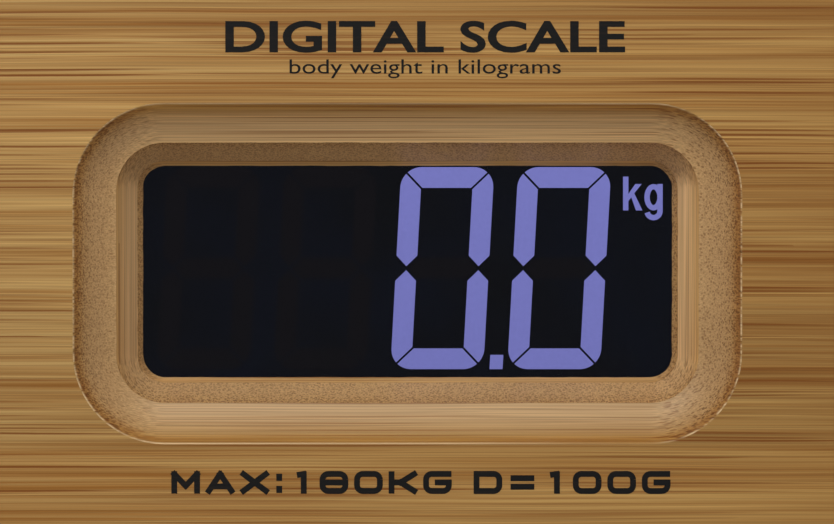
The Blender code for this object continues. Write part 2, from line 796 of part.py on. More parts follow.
def make_wiring(name, foot, look):
    side_x, side_y = corners[name]
    direction = wire_direction(name)
    height = wire_height
    start = Vector(foot) + direction * (cell_plate / 2 + gap)
    path = groove_path(name)
    lcd_x = window_width / 2 + lcd_margin
    near = pcb_near(window_depth / 2 + lcd_margin)
    inside = side_x * (tray_half_width - tray_wall - 4 * mm)
    pad_x = side_x * (lcd_x + frame_wall - 3 * mm)
    solder_y = near + (10 * mm if side_y > 0 else 4 * mm)
    solder = pcb_top + gap + wire_radius
    route = [(start.x, start.y, height)]
    if side_y > 0:
        route += [
            (path[1][0] + side_x * 6 * mm, path[1][1], height), (inside, path[1][1] - 3 * mm, height),
            (inside, solder_y + 6 * mm, height), (inside - side_x * 2 * mm, solder_y + 1 * mm, height),
            (pad_x + side_x * 3 * mm, solder_y, (height + solder) / 2), (pad_x, solder_y, solder),
        ]
    else:
        turn_y = path[1][1]
        route += [
            (start.x, turn_y - 20 * mm, height), (start.x, turn_y - 3 * mm, height),
            (start.x - side_x * 3 * mm, turn_y, height), (start.x - side_x * 20 * mm, turn_y, height),
            (path[2][0] + side_x * 6 * mm, turn_y, height), (inside, turn_y + 3 * mm, height),
            (inside, solder_y - 4 * mm, height), (inside - side_x * 2 * mm, solder_y, height),
            (pad_x, solder_y, solder),
        ]
    tube("wires_" + name, route, wire_radius, look["wire"], 6 * mm)
    # The cover stops short of the pocket's wall, of the tray and of the groove's sides.
    cover = [Vector(point) for point in path]
    cover[0] = cover[0] + (cover[1] - cover[0]).normalized() * 8 * gap
    cover[-1] = Vector((side_x * (tray_half_width + 2 * gap), cover[-1].y))
    outline_band("wire_cover_" + name, cover, groove_width - 2 * gap, board_bottom,
                 board_bottom + cover_thickness, look["black"])


def main():
    look = make_materials()
    make_board(look)
    make_display(look)
    make_tray(look)
    make_battery_door(look)
    make_batteries(look)
    make_contacts(look)
    make_unit_button(look)
    for index, spot in enumerate(tray_screw_places()):
        make_screw(f"tray_screw_{index + 1}", spot, tray_head_seat() - gap - screw_head_height,
                   tray_screw_length, look)
    for name, foot in foot_places().items():
        make_foot(name, foot, look)
        make_wiring(name, foot, look)


clear_scene()
parts = new_collection("bathroom_scale")
cutters = new_collection("cutters")
main()
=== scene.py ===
import math

import bmesh
import bpy
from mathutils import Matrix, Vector, noise


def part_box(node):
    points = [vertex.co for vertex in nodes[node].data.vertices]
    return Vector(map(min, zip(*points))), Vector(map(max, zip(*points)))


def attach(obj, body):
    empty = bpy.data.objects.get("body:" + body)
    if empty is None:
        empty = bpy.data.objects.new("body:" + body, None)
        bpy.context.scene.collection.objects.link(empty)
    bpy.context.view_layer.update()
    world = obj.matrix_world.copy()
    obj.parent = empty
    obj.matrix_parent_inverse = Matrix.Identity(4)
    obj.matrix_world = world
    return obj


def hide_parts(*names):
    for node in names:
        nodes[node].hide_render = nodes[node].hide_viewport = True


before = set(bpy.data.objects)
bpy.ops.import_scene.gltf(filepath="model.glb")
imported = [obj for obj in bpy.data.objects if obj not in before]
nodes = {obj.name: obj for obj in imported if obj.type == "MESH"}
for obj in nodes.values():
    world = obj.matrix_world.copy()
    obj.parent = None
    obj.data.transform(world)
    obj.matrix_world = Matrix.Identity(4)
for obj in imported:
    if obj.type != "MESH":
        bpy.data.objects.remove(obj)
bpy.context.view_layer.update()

mm = 0.001
scene = bpy.context.scene

boardLow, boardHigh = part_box("top_ply")
bottomLow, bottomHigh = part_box("bottom_ply")
coreLow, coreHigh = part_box("core_ply")
lensLow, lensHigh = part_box("display_lens")
boardTop = boardHigh.z
displayX = (lensLow.x + lensHigh.x) / 2
displayY = (lensLow.y + lensHigh.y) / 2


cameraValues = {
    "lens": 300,             # mm, a long lens, so the banks look the same on every side
    "viewWidth": 118.3 * mm, # how much of the lens's plane the picture takes in
    "tilt": 1.4,             # degrees off straight down, from the display's far side
    "aimRight": 1.35 * mm,
    "aimFar": 1.35 * mm,
}

lightValues = {
    "keyPlace": (-0.14, 0.42, 0.50), # m from the display
    "keySize": 0.36,
    "keyPower": 2.7,
    "fillPlace": (0.9, -1.1, 1.1),
    "fillSize": 1.2,
    "fillPower": 1.5,
    "skyLow": 0.68,                  # at the horizon
    "skyHigh": 0.07,                 # overhead, dark enough to keep the display black
    "floorTone": "#E4E2DE",
    "floorHalf": 30,                 # m from the middle to each side
}


def makeCamera():
    data = bpy.data.cameras.new("camera")
    data.lens = cameraValues["lens"]
    data.sensor_width = 36
    data.clip_start = 0.02
    data.clip_end = 100
    camera = bpy.data.objects.new("camera", data)
    scene.collection.objects.link(camera)
    tilt = math.radians(cameraValues["tilt"])
    distance = cameraValues["viewWidth"] * cameraValues["lens"] / data.sensor_width
    aim = Vector((displayX + cameraValues["aimRight"], displayY + cameraValues["aimFar"], lensHigh.z))
    camera.location = aim + distance * Vector((0, math.sin(tilt), math.cos(tilt)))
    camera.rotation_euler = (-tilt, 0, 0)
    scene.camera = camera


def linear(code):
    # sRGB hex to linear RGBA
    channels = [int(code[place:place + 2], 16) / 255 for place in (1, 3, 5)]
    return (*[c / 12.92 if c <= 0.04045 else ((c + 0.055) / 1.055) ** 2.4 for c in channels], 1)


def addNode(tree, kind, links=None, **settings):
    # links maps an input's name or number to a socket or a plain value
    node = tree.nodes.new(kind)
    for name, value in settings.items():
        setattr(node, name, value)
    for name, value in (links or {}).items():
        if isinstance(value, bpy.types.NodeSocket):
            tree.links.new(value, node.inputs[name])
        else:
            node.inputs[name].default_value = value
    return next(socket for socket in node.outputs if socket.enabled)


def addLight(name, place, size, power, aim):
    data = bpy.data.lights.new(name, "AREA")
    data.shape = "SQUARE"
    data.size = size
    data.energy = power
    light = bpy.data.objects.new(name, data)
    scene.collection.objects.link(light)
    light.visible_camera = False
    light.location = place
    light.rotation_euler = (Vector(aim) - Vector(place)).to_track_quat("-Z", "Y").to_euler()


def makeStage():
    display = Vector((displayX, displayY, boardTop))
    keyPlace = display + Vector(lightValues["keyPlace"])
    addLight("keyLight", keyPlace, lightValues["keySize"], lightValues["keyPower"], display)
    addLight("fillLight", Vector(lightValues["fillPlace"]), lightValues["fillSize"],
             lightValues["fillPower"], (0, 0, 0))
    world = bpy.data.worlds.new("softSky")
    scene.world = world
    world.use_nodes = True
    tree = world.node_tree
    direction = addNode(tree, "ShaderNodeTexCoord").node.outputs["Generated"]
    height = addNode(tree, "ShaderNodeSeparateXYZ", {0: direction}).node.outputs[2]
    strength = addNode(tree, "ShaderNodeMapRange", {
        0: height, 1: 0.0, 2: 1.0, 3: lightValues["skyLow"], 4: lightValues["skyHigh"]})
    background = tree.nodes["Background"]
    background.inputs["Color"].default_value = (1, 1, 1, 1)
    tree.links.new(strength, background.inputs["Strength"])
    bm = bmesh.new()
    bmesh.ops.create_grid(bm, x_segments=1, y_segments=1, size=lightValues["floorHalf"])
    mesh = bpy.data.meshes.new("floor")
    bm.to_mesh(mesh)
    bm.free()
    floor = bpy.data.objects.new("floor", mesh)
    scene.collection.objects.link(floor)
    paint = bpy.data.materials.new("matteFloorPaint")
    paint.use_nodes = True
    shader = paint.node_tree.nodes["Principled BSDF"]
    shader.inputs["Base Color"].default_value = linear(lightValues["floorTone"])
    shader.inputs["Roughness"].default_value = 0.8
    mesh.materials.append(paint)


scene.view_settings.view_transform = "Standard"
makeCamera()
makeStage()
print("camera and light made")


def startMaterial(name, roughness, metallic=0.0):
    material = bpy.data.materials.new(name)
    material.use_nodes = True
    tree = material.node_tree
    shader = tree.nodes["Principled BSDF"]
    shader.inputs["Roughness"].default_value = roughness
    shader.inputs["Metallic"].default_value = metallic
    return material, tree, shader


bambooValues = {
    "strip": 19.4,           # mm, the width of one pressed strip
    "bundle": 0.42,          # mm between fibre bundles across the grain
    "bundleLength": 50,      # mm, over which a bundle comes and goes
    "bundleCore": 0.28,      # of the spacing, where a bundle starts to fade
    "bundleEdge": 0.48,      # and where it ends
    "hair": 0.15,            # mm, the finest lines along the grain
    "hairLength": 60,
    "line": 0.42,            # mm, weak lines between the bundles
    "lineLength": 90,
    "band": 3.4,             # mm, bands of paler and warmer wood
    "bandLength": 150,
    "patch": (4, 5),         # mm, dark patches on the end grain, along and across
    "strokes": (0.9, 4.6, 1.1),  # torn fibres to a mm along and across, and to a layer of bundles
    "wander": 0.4,           # mm that a bundle wanders to each side
    "wanderLength": 60,
    "wanderPitch": 9,
    "light": "#CFA766",
    "warm": "#9C6729",
    # painted shade: the skin's tones grow darker and warmer towards +X, for the lamp's light falling off and
    # its sheen fading
    "paintedFalloff": "#EAE0CF",      # multiplies the skin's tones towards the board's +X side
    "deep": "#CFA875",       # the pale wood near the inside of the stalk
    "coreDeep": "#D3AC7C",
    "bundleTone": "#844A12",
    "endGrain": "#BD9462",
    "endDark": "#7E532B",     # patches of close bundles near the skin
    "dotTone": "#64401F",
    "strokeTone": "#7A4B22",
    "skinTint": "#FFF3DA",
    # paler tone for the ring just inside the recess's edge: partly worn lacquer, partly a painted highlight
    "edge": "#E6C696",
}


def makeBamboo(name, along, plyTop, plyThickness, seed, skin, layers, tone, deep):
    # Laminated bamboo under satin lacquer. Its fibre bundles run through the whole thickness, so they
    # show as long brown lines along the grain and as stippled dots where a bank cuts across them.
    material, tree, shader = startMaterial(name, 0.46)
    shader.inputs["Specular IOR Level"].default_value = 0.32
    values = bambooValues
    place = addNode(tree, "ShaderNodeTexCoord").node.outputs["Object"]
    scaled = addNode(tree, "ShaderNodeVectorMath", {0: place, "Scale": 1 / mm}, operation="SCALE")
    split = addNode(tree, "ShaderNodeSeparateXYZ", {0: scaled}).node
    grain = split.outputs[0 if along == "x" else 1]
    across = split.outputs[1 if along == "x" else 0]
    depth = addNode(tree, "ShaderNodeMapRange", {
        0: split.outputs[2], 1: plyTop / mm, 2: (plyTop - plyThickness) / mm, 3: 0.0, 4: 1.0})
    # where the cut crosses the grain, from 0 along it to 1 across it
    normal = addNode(tree, "ShaderNodeNewGeometry").node.outputs["Normal"]
    direction = (1, 0, 0) if along == "x" else (0, 1, 0)
    facing = addNode(tree, "ShaderNodeVectorMath", {0: normal, 1: direction}, operation="DOT_PRODUCT")
    facing = addNode(tree, "ShaderNodeMath", {0: facing}, operation="ABSOLUTE")
    endShare = addNode(tree, "ShaderNodeMapRange", {0: facing, 1: 0.06, 2: 0.5, 3: 0.0, 4: 1.0})
    # skin above 1 draws the bundles out near the skin side and packs them deep down
    packed = addNode(tree, "ShaderNodeMath", {0: depth, 1: skin}, operation="POWER")
    radial = addNode(tree, "ShaderNodeMath", {0: packed, 1: layers}, operation="MULTIPLY")
    plan = addNode(tree, "ShaderNodeCombineXYZ", {0: grain, 1: across, 2: seed})
    wander = addNode(tree, "ShaderNodeVectorMath", {
        0: plan, 1: (1 / values["wanderLength"], 1 / values["wanderPitch"], 1)}, operation="MULTIPLY")
    wander = addNode(tree, "ShaderNodeTexNoise", {"Vector": wander, "Scale": 1.0, "Detail": 2.0})
    wander = addNode(tree, "ShaderNodeMapRange", {0: wander, 3: -values["wander"], 4: values["wander"]})
    wavy = addNode(tree, "ShaderNodeMath", {0: across, 1: wander}, operation="ADD")
    wood = addNode(tree, "ShaderNodeCombineXYZ", {0: grain, 1: wavy, 2: radial})
    cells = addNode(tree, "ShaderNodeVectorMath", {
        0: wood, 1: (1 / values["bundleLength"], 1 / values["bundle"], 1), 2: (0, 0, seed * 0.37)},
        operation="MULTIPLY_ADD")
    cells = addNode(tree, "ShaderNodeTexVoronoi", {"Vector": cells, "Scale": 1.0, "Randomness": 0.95}).node
    bundles = addNode(tree, "ShaderNodeMapRange", {
        0: cells.outputs["Distance"], 1: values["bundleCore"], 2: values["bundleEdge"], 3: 1, 4: 0})
    chance = addNode(tree, "ShaderNodeSeparateXYZ", {0: cells.outputs["Color"]})
    lineWeight = addNode(tree, "ShaderNodeMath", {0: chance, 1: 1.3}, operation="POWER")
    dotWeight = addNode(tree, "ShaderNodeMapRange", {0: chance, 3: 0.5, 4: 0.95})
    weight = addNode(tree, "ShaderNodeMapRange", {0: endShare, 3: lineWeight, 4: dotWeight})
    bundles = addNode(tree, "ShaderNodeMath", {0: bundles, 1: weight}, operation="MULTIPLY")
    # fine fibres, weak lines, broad bands of tone, and one tint for each strip
    fibres = addNode(tree, "ShaderNodeVectorMath", {
        0: wood, 1: (1 / values["hairLength"], 1 / values["hair"], 1.5)}, operation="MULTIPLY")
    fibres = addNode(tree, "ShaderNodeTexNoise", {
        "Vector": fibres, "Scale": 1.0, "Detail": 2.0, "Roughness": 0.6})
    lines = addNode(tree, "ShaderNodeVectorMath", {
        0: wood, 1: (1 / values["lineLength"], 1 / values["line"], 0.5), 2: (seed, seed, 0)},
        operation="MULTIPLY_ADD")
    lines = addNode(tree, "ShaderNodeTexNoise", {"Vector": lines, "Scale": 1.0, "Detail": 2.0})
    lines = addNode(tree, "ShaderNodeMapRange", {0: lines, 1: 0.36, 2: 0.64})
    bands = addNode(tree, "ShaderNodeVectorMath", {
        0: plan, 1: (1 / values["bandLength"], 1 / values["band"], 1)}, operation="MULTIPLY")
    bands = addNode(tree, "ShaderNodeTexNoise", {"Vector": bands, "Scale": 1.0, "Detail": 2.0})
    bands = addNode(tree, "ShaderNodeMapRange", {0: bands, 1: 0.36, 2: 0.66})
    warmth = addNode(tree, "ShaderNodeMix", {0: 0.5, 2: lines, 3: bands}, data_type="FLOAT")
    strip = addNode(tree, "ShaderNodeMath", {0: across, 1: seed * 7.0}, operation="ADD")
    strip = addNode(tree, "ShaderNodeMath", {0: strip, 1: values["strip"]}, operation="DIVIDE")
    strip = addNode(tree, "ShaderNodeMath", {0: strip}, operation="FLOOR")
    strip = addNode(tree, "ShaderNodeTexWhiteNoise", {"W": strip}, noise_dimensions="1D")
    colour = addNode(tree, "ShaderNodeMix", {
        0: warmth, 6: linear(values["light"]), 7: linear(values["warm"])}, data_type="RGBA")
    # painted shade: darker and warmer towards the board's +X side, where less of the lamp's light and sheen
    # would fall
    paintedFalloff = addNode(tree, "ShaderNodeMapRange", {0: split.outputs[0], 1: -40.0, 2: 60.0})
    colour = addNode(tree, "ShaderNodeMix", {0: paintedFalloff, 6: colour, 7: linear(values["paintedFalloff"])},
                     data_type="RGBA", blend_type="MULTIPLY")
    # just under the skin the wood is richer
    skinIn = addNode(tree, "ShaderNodeMapRange", {0: depth, 1: 0.01, 2: 0.06, 3: 0.0, 4: 1.0})
    skinOut = addNode(tree, "ShaderNodeMapRange", {0: depth, 1: 0.2, 2: 0.45, 3: 1.0, 4: 0.0})
    skinShare = addNode(tree, "ShaderNodeMath", {0: skinIn, 1: skinOut}, operation="MULTIPLY")
    deepShare = addNode(tree, "ShaderNodeMapRange", {0: depth, 1: 0.2, 2: 0.75, 3: 0.0, 4: 0.85})
    colour = addNode(tree, "ShaderNodeMix", {0: deepShare, 6: colour, 7: linear(deep)},
                     data_type="RGBA")
    stripScale = addNode(tree, "ShaderNodeMapRange", {0: strip, 3: 0.92, 4: 1.06})
    fibreScale = addNode(tree, "ShaderNodeMapRange", {
        0: fibres, 1: 0.3, 2: 0.7, 3: 0.75 * tone, 4: 1.28 * tone})
    scale = addNode(tree, "ShaderNodeMath", {0: stripScale, 1: fibreScale}, operation="MULTIPLY")
    colour = addNode(tree, "ShaderNodeVectorMath", {0: colour, "Scale": scale}, operation="SCALE")
    dull = addNode(tree, "ShaderNodeMapRange", {0: depth, 1: 0.0, 2: 0.08, 3: 0.0, 4: 0.6})
    dull = addNode(tree, "ShaderNodeMath", {0: endShare, 1: dull}, operation="MULTIPLY")
    patches = addNode(tree, "ShaderNodeVectorMath", {
        0: plan, 1: (1 / values["patch"][0], 1 / values["patch"][1], 1)}, operation="MULTIPLY")
    patches = addNode(tree, "ShaderNodeTexNoise", {"Vector": patches, "Scale": 1.0, "Detail": 3.0})
    patches = addNode(tree, "ShaderNodeMapRange", {0: patches, 1: 0.35, 2: 0.6, 3: 0.3, 4: 1.0})
    nearSkin = addNode(tree, "ShaderNodeMapRange", {0: depth, 1: 0.02, 2: 0.38, 3: 0.75, 4: 0.0})
    patches = addNode(tree, "ShaderNodeMath", {0: patches, 1: nearSkin}, operation="MULTIPLY")
    endTone = addNode(tree, "ShaderNodeMix", {
        0: patches, 6: linear(values["endGrain"]), 7: linear(values["endDark"])}, data_type="RGBA")
    colour = addNode(tree, "ShaderNodeMix", {0: dull, 6: colour, 7: endTone}, data_type="RGBA")
    fade = addNode(tree, "ShaderNodeMapRange", {0: depth, 1: 0.2, 2: 0.8, 3: 0.95, 4: 0.6})
    fade = addNode(tree, "ShaderNodeMath", {0: bundles, 1: fade}, operation="MULTIPLY")
    dark = addNode(tree, "ShaderNodeMix", {
        0: endShare, 6: linear(values["bundleTone"]), 7: linear(values["dotTone"])}, data_type="RGBA")
    colour = addNode(tree, "ShaderNodeMix", {0: fade, 6: colour, 7: dark}, data_type="RGBA")
    # short torn strokes between the dots, strongest near the skin
    strokes = addNode(tree, "ShaderNodeVectorMath", {0: wood, 1: values["strokes"]}, operation="MULTIPLY")
    strokes = addNode(tree, "ShaderNodeTexNoise", {"Vector": strokes, "Scale": 1.0, "Detail": 2.0})
    strokes = addNode(tree, "ShaderNodeMapRange", {0: strokes, 1: 0.46, 2: 0.62, 3: 0.0, 4: 0.9})
    strokeShare = addNode(tree, "ShaderNodeMapRange", {0: depth, 1: 0.1, 2: 0.6, 3: 1.0, 4: 0.35})
    strokes = addNode(tree, "ShaderNodeMath", {0: strokes, 1: strokeShare}, operation="MULTIPLY")
    strokes = addNode(tree, "ShaderNodeMath", {0: strokes, 1: endShare}, operation="MULTIPLY")
    colour = addNode(tree, "ShaderNodeMix", {0: strokes, 6: colour, 7: linear(values["strokeTone"])},
                     data_type="RGBA")
    colour = addNode(tree, "ShaderNodeMix", {0: skinShare, 6: colour, 7: linear(values["skinTint"])},
                     data_type="RGBA", blend_type="MULTIPLY")
    # paler colour on the marked rings at the recess's edge: partly worn lacquer, partly a painted highlight
    wearAndHighlightShare = addNode(tree, "ShaderNodeAttribute", attribute_name="edgeWearAndHighlight").node.outputs["Fac"]
    wearAndHighlightShare = addNode(tree, "ShaderNodeMath", {0: wearAndHighlightShare, 1: lines}, operation="MULTIPLY")
    colour = addNode(tree, "ShaderNodeMix", {0: wearAndHighlightShare, 6: colour, 7: linear(values["edge"])},
                     data_type="RGBA")
    tree.links.new(colour, shader.inputs["Base Color"])
    relief = addNode(tree, "ShaderNodeMath", {0: bundles, 1: -0.6, 2: fibres}, operation="MULTIPLY_ADD")
    relief = addNode(tree, "ShaderNodeBump", {"Height": relief, "Strength": 0.25, "Distance": 0.06 * mm})
    tree.links.new(relief, shader.inputs["Normal"])
    return material


def makePiece(name, bm, material, body="scale", smoothAngle=32):
    bmesh.ops.recalc_face_normals(bm, faces=bm.faces)
    mesh = bpy.data.meshes.new(name)
    bm.to_mesh(mesh)
    bm.free()
    mesh.materials.append(material)
    mesh.shade_smooth()
    mesh.set_sharp_from_angle(angle=math.radians(smoothAngle))
    piece = bpy.data.objects.new(name, mesh)
    scene.collection.objects.link(piece)
    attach(piece, body)
    return piece


def applied(thing):
    # the mesh with its modifiers worked in
    bpy.context.view_layer.update()
    return bpy.data.meshes.new_from_object(thing.evaluated_get(bpy.context.evaluated_depsgraph_get()))


def plainName(corner):
    return corner.title().replace("_", "")


def centreOf(node):
    low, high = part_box(node)
    return (low.x + high.x) / 2, (low.y + high.y) / 2


def roundedProfile(points, radius, closed, steps=3):
    # swaps each corner of a profile for a short curve, smaller where the sides are short
    count = len(points)
    result = []
    for index, point in enumerate(points):
        if not closed and index in (0, count - 1):
            result.append(point)
            continue
        here = Vector(point)
        before = Vector(points[index - 1]) - here
        after = Vector(points[(index + 1) % count]) - here
        reach = min(radius, 0.4 * before.length, 0.4 * after.length)
        start = here + before.normalized() * reach
        end = here + after.normalized() * reach
        for step in range(steps + 1):
            t = step / steps
            result.append(tuple(start * (1 - t) ** 2 + 2 * here * t * (1 - t) + end * t ** 2))
    return result


def latheMesh(profile, middle, closed=False, steps=96):
    # profile holds (radius, height) pairs; an open one starts and ends on the axis
    bm = bmesh.new()
    rings = []
    for radius, height in profile:
        if radius < 1e-6:
            rings.append([bm.verts.new((middle[0], middle[1], height))])
            continue
        turns = [2 * math.pi * step / steps for step in range(steps)]
        rings.append([bm.verts.new((middle[0] + radius * math.cos(turn), middle[1] + radius * math.sin(turn),
                                    height)) for turn in turns])
    pairs = list(zip(rings, rings[1:]))
    if closed:
        pairs.append((rings[-1], rings[0]))
    for first, second in pairs:
        for step in range(steps):
            after = (step + 1) % steps
            corners = [first[step % len(first)], first[after % len(first)], second[after % len(second)],
                       second[step % len(second)]]
            bm.faces.new(list(dict.fromkeys(corners)))
    return bm


def makeCutter(name, bm):
    bmesh.ops.recalc_face_normals(bm, faces=bm.faces)
    mesh = bpy.data.meshes.new(name)
    bm.to_mesh(mesh)
    bm.free()
    cutter = bpy.data.objects.new(name, mesh)
    scene.collection.objects.link(cutter)
    return cutter


def boxCutter(name, low, high, turn=0.0, middle=(0, 0)):
    bm = bmesh.new()
    bmesh.ops.create_cube(bm, size=1)
    size = Vector(high) - Vector(low)
    bmesh.ops.scale(bm, vec=size, verts=bm.verts)
    bmesh.ops.translate(bm, vec=(Vector(low) + Vector(high)) / 2, verts=bm.verts)
    cos, sin = math.cos(turn), math.sin(turn)
    for vert in bm.verts:
        x, y = vert.co.x, vert.co.y
        vert.co.x, vert.co.y = middle[0] + x * cos - y * sin, middle[1] + x * sin + y * cos
    return makeCutter(name, bm)


def roundCutter(name, middle, radius, low, high, steps=32):
    profile = [(0, high), (radius, high), (radius, low), (0, low)]
    return makeCutter(name, latheMesh(profile, middle, steps=steps))


def cutBy(bm, cutters, operation="DIFFERENCE"):
    # one solid less some others, or joined with them
    body = makeCutter("body", bm)
    group = bpy.data.collections.new("cutters")
    for cutter in cutters:
        group.objects.link(cutter)
    modifier = body.modifiers.new("cut", "BOOLEAN")
    modifier.operation = operation
    modifier.operand_type = "COLLECTION"
    modifier.collection = group
    finished = applied(body)
    for thing in (body, *cutters):
        bpy.data.objects.remove(thing)
    bpy.data.collections.remove(group)
    result = bmesh.new()
    result.from_mesh(finished)
    return result


def addPlate(bm, points, low, high):
    ring = [bm.verts.new((x, y, low)) for x, y in points]
    face = bm.faces.new(ring)
    raised = bmesh.ops.extrude_face_region(bm, geom=[face])["geom"]
    verts = [part for part in raised if isinstance(part, bmesh.types.BMVert)]
    bmesh.ops.translate(bm, vec=(0, 0, high - low), verts=verts)


def roundedOutline(halfX, halfY, radius, cornerSteps=16, longSteps=56, shortSteps=26):
    # counter-clockwise from the +X side, the same number of points whatever the size
    points = []
    for quarter, (sideX, sideY) in enumerate(((1, 1), (-1, 1), (-1, -1), (1, -1))):
        centre = Vector((sideX * (halfX - radius), sideY * (halfY - radius)))
        for step in range(cornerSteps + 1):
            turn = math.radians(90) * (quarter + step / cornerSteps)
            points.append(centre + radius * Vector((math.cos(turn), math.sin(turn))))
        nextX, nextY = ((-1, 1), (-1, -1), (1, -1), (1, 1))[quarter]
        nextTurn = math.radians(90) * (quarter + 1)
        nextCentre = Vector((nextX * (halfX - radius), nextY * (halfY - radius)))
        nextPoint = nextCentre + radius * Vector((math.cos(nextTurn), math.sin(nextTurn)))
        sideSteps = longSteps if quarter % 2 == 0 else shortSteps
        start = points[-1]
        for step in range(1, sideSteps):
            points.append(start.lerp(nextPoint, step / sideSteps))
    return points


def loftRings(rings, wearAndHighlight=()):
    # a closed solid through rings that run round a hole: the last ring meets the first
    bm = bmesh.new()
    # the listed rings get a paler edge colour, partly wear and partly a painted highlight
    layer = bm.verts.layers.float.new("edgeWearAndHighlight")
    made = []
    for index, ring in enumerate(rings):
        verts = [bm.verts.new(point) for point in ring]
        for vert in verts:
            vert[layer] = 1.0 if index in wearAndHighlight else 0.0
        made.append(verts)
    count = len(made[0])
    for index, ring in enumerate(made):
        following = made[(index + 1) % len(made)]
        for step in range(count):
            after = (step + 1) % count
            bm.faces.new((ring[step], ring[after], following[after], following[step]))
    return bm


recessValues = {
    "lensMargin": 4.5 * mm,      # lens past the window
    "bankX": 9.3 * mm,
    "bankY": 8.8 * mm,
    "windowCorner": 3.2 * mm,
    "recessCorner": 12.7 * mm,
    "coveShare": 0.62,
    "slopeShare": 0.30,
    "coveStart": 65,             # degrees from level
    "coveEnd": 17,
    "edgeRound": 0.13 * mm,
    "sawWaver": 0.07 * mm,       # how ragged the cut is at the window
    "plyWaver": 0.05 * mm,       # and where two plies meet
    "waverPitch": (420, 1400),   # slow and quick waves to a metre
    "lensGap": 0.3 * mm,
}

boardValues = {
    "corner": 25 * mm,
    "edge": 2 * mm,
    "edgeSteps": 8,
    "glueLine": 0.02 * mm,
    "skinDepth": 3 * mm,         # the two lower plies start this far in from a stalk's skin
}

windowHalfX = (lensHigh.x - lensLow.x) / 2 - recessValues["lensMargin"]
windowHalfY = (lensHigh.y - lensLow.y) / 2 - recessValues["lensMargin"]
ledge = lensHigh.z + recessValues["lensGap"]
upperGlue = (coreHigh.z + boardLow.z) / 2
lowerGlue = (bottomHigh.z + coreLow.z) / 2


def bankRing(share, height, waver=0.0, seed=0.0):
    # share 0 is the recess's edge in the board's top, 1 is the window
    values = recessValues
    halfX = windowHalfX + (1 - share) * values["bankX"]
    halfY = windowHalfY + (1 - share) * values["bankY"]
    radius = values["recessCorner"] + share * (values["windowCorner"] - values["recessCorner"])
    slow, quick = values["waverPitch"]
    ring = []
    for point in roundedOutline(halfX, halfY, radius):
        outward = point.normalized()
        wave = noise.noise(Vector((point.x, point.y, seed)) * slow)
        wave += 0.6 * noise.noise(Vector((point.x, point.y, seed + 5)) * quick)
        moved = point + outward * waver * wave
        ring.append((displayX + moved.x, displayY + moved.y, height))
    return ring


def boardRing(inset, height):
    halfX = (boardHigh.x - boardLow.x) / 2 - inset
    halfY = (boardHigh.y - boardLow.y) / 2 - inset
    outline = roundedOutline(halfX, halfY, boardValues["corner"] - inset)
    return [(point.x, point.y, height) for point in outline]


def coveRings(steps=22):
    # from the foot of the cove up to just under the recess's edge
    values = recessValues
    start = math.radians(values["coveStart"])
    end = math.radians(values["coveEnd"])
    fall = boardTop - upperGlue
    rings = []
    for step in range(steps, 0, -1):
        slope = start + (end - start) * step / steps
        reach = (math.sin(start) - math.sin(slope)) / (math.sin(start) - math.sin(end))
        drop = (math.cos(slope) - math.cos(start)) / (math.cos(end) - math.cos(start))
        waver = values["plyWaver"] if step == steps else 0.0
        rings.append(bankRing(reach * values["coveShare"], boardTop - drop * fall, waver, 1))
    return rings


def roundedRim(height, direction):
    # rings over the board's outer edge, from the flat face to the side
    radius = boardValues["edge"]
    steps = boardValues["edgeSteps"]
    rings = [boardRing(radius + 0.2 * mm, height)]
    for step in range(steps + 1):
        turn = math.radians(90) * step / steps
        inset = radius - radius * math.sin(turn)
        rings.append(boardRing(inset, height - direction * radius * (1 - math.cos(turn))))
    return rings


def makeTopPly(material):
    edge = recessValues["edgeRound"]
    bank = recessValues["bankX"]
    rings = coveRings()
    # the first two rings over the recess's edge take the paler edge colour: partly wear, partly a painted
    # highlight
    wearAndHighlight = len(rings)
    rings.append(bankRing(-0.2 * edge / bank, boardTop - 0.75 * edge))
    rings.append(bankRing(-0.6 * edge / bank, boardTop - 0.2 * edge))
    rings.append(bankRing(-1.3 * edge / bank, boardTop))
    rings.append(bankRing(-2.5 * edge / bank, boardTop))
    rings += roundedRim(boardTop, 1)
    low = upperGlue + boardValues["glueLine"]
    rings.append(boardRing(0, low))
    rings[0] = [(point[0], point[1], low) for point in rings[0]]
    piece = makePiece("topPly", loftRings(rings, (wearAndHighlight, wearAndHighlight + 1)), material)
    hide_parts("top_ply")


def makeCorePly(material):
    share = recessValues["coveShare"]
    slope = recessValues["slopeShare"]
    high = upperGlue - boardValues["glueLine"]
    low = lowerGlue + boardValues["glueLine"]
    rings = []
    steps = 8
    for step in range(steps + 1):
        part = step / steps
        waver = recessValues["plyWaver"] if step in (0, steps) else 0.0
        rings.append(bankRing(share + slope * (1 - part), low + (high - low) * part, waver, 2 - part))
    rings.append(boardRing(0, high))
    rings.append(boardRing(0, low))
    bm = cutBy(loftRings(rings), pocketCutters())
    piece = makePiece("corePly", bm, material)
    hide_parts("core_ply")


pocketValues = {
    "clearance": 0.3 * mm,
    "trayCorner": 6.3 * mm,
    "tubWall": 1.2 * mm,
    "tubEnds": 4 * mm,        # room for the contacts past the cells
    "grooveHalf": 3.5 * mm,
    "grooveDepth": 3.3 * mm,
    "footFlange": 8 * mm,     # from a mount's edge in to its pocket
    "pilot": 1.6 * mm,
    "pilotSpare": 1.2 * mm,   # above a tray screw's tip
    "overlap": 2 * mm,        # so that one cut runs into the next
}
corners = ("far_left", "far_right", "near_left", "near_right")


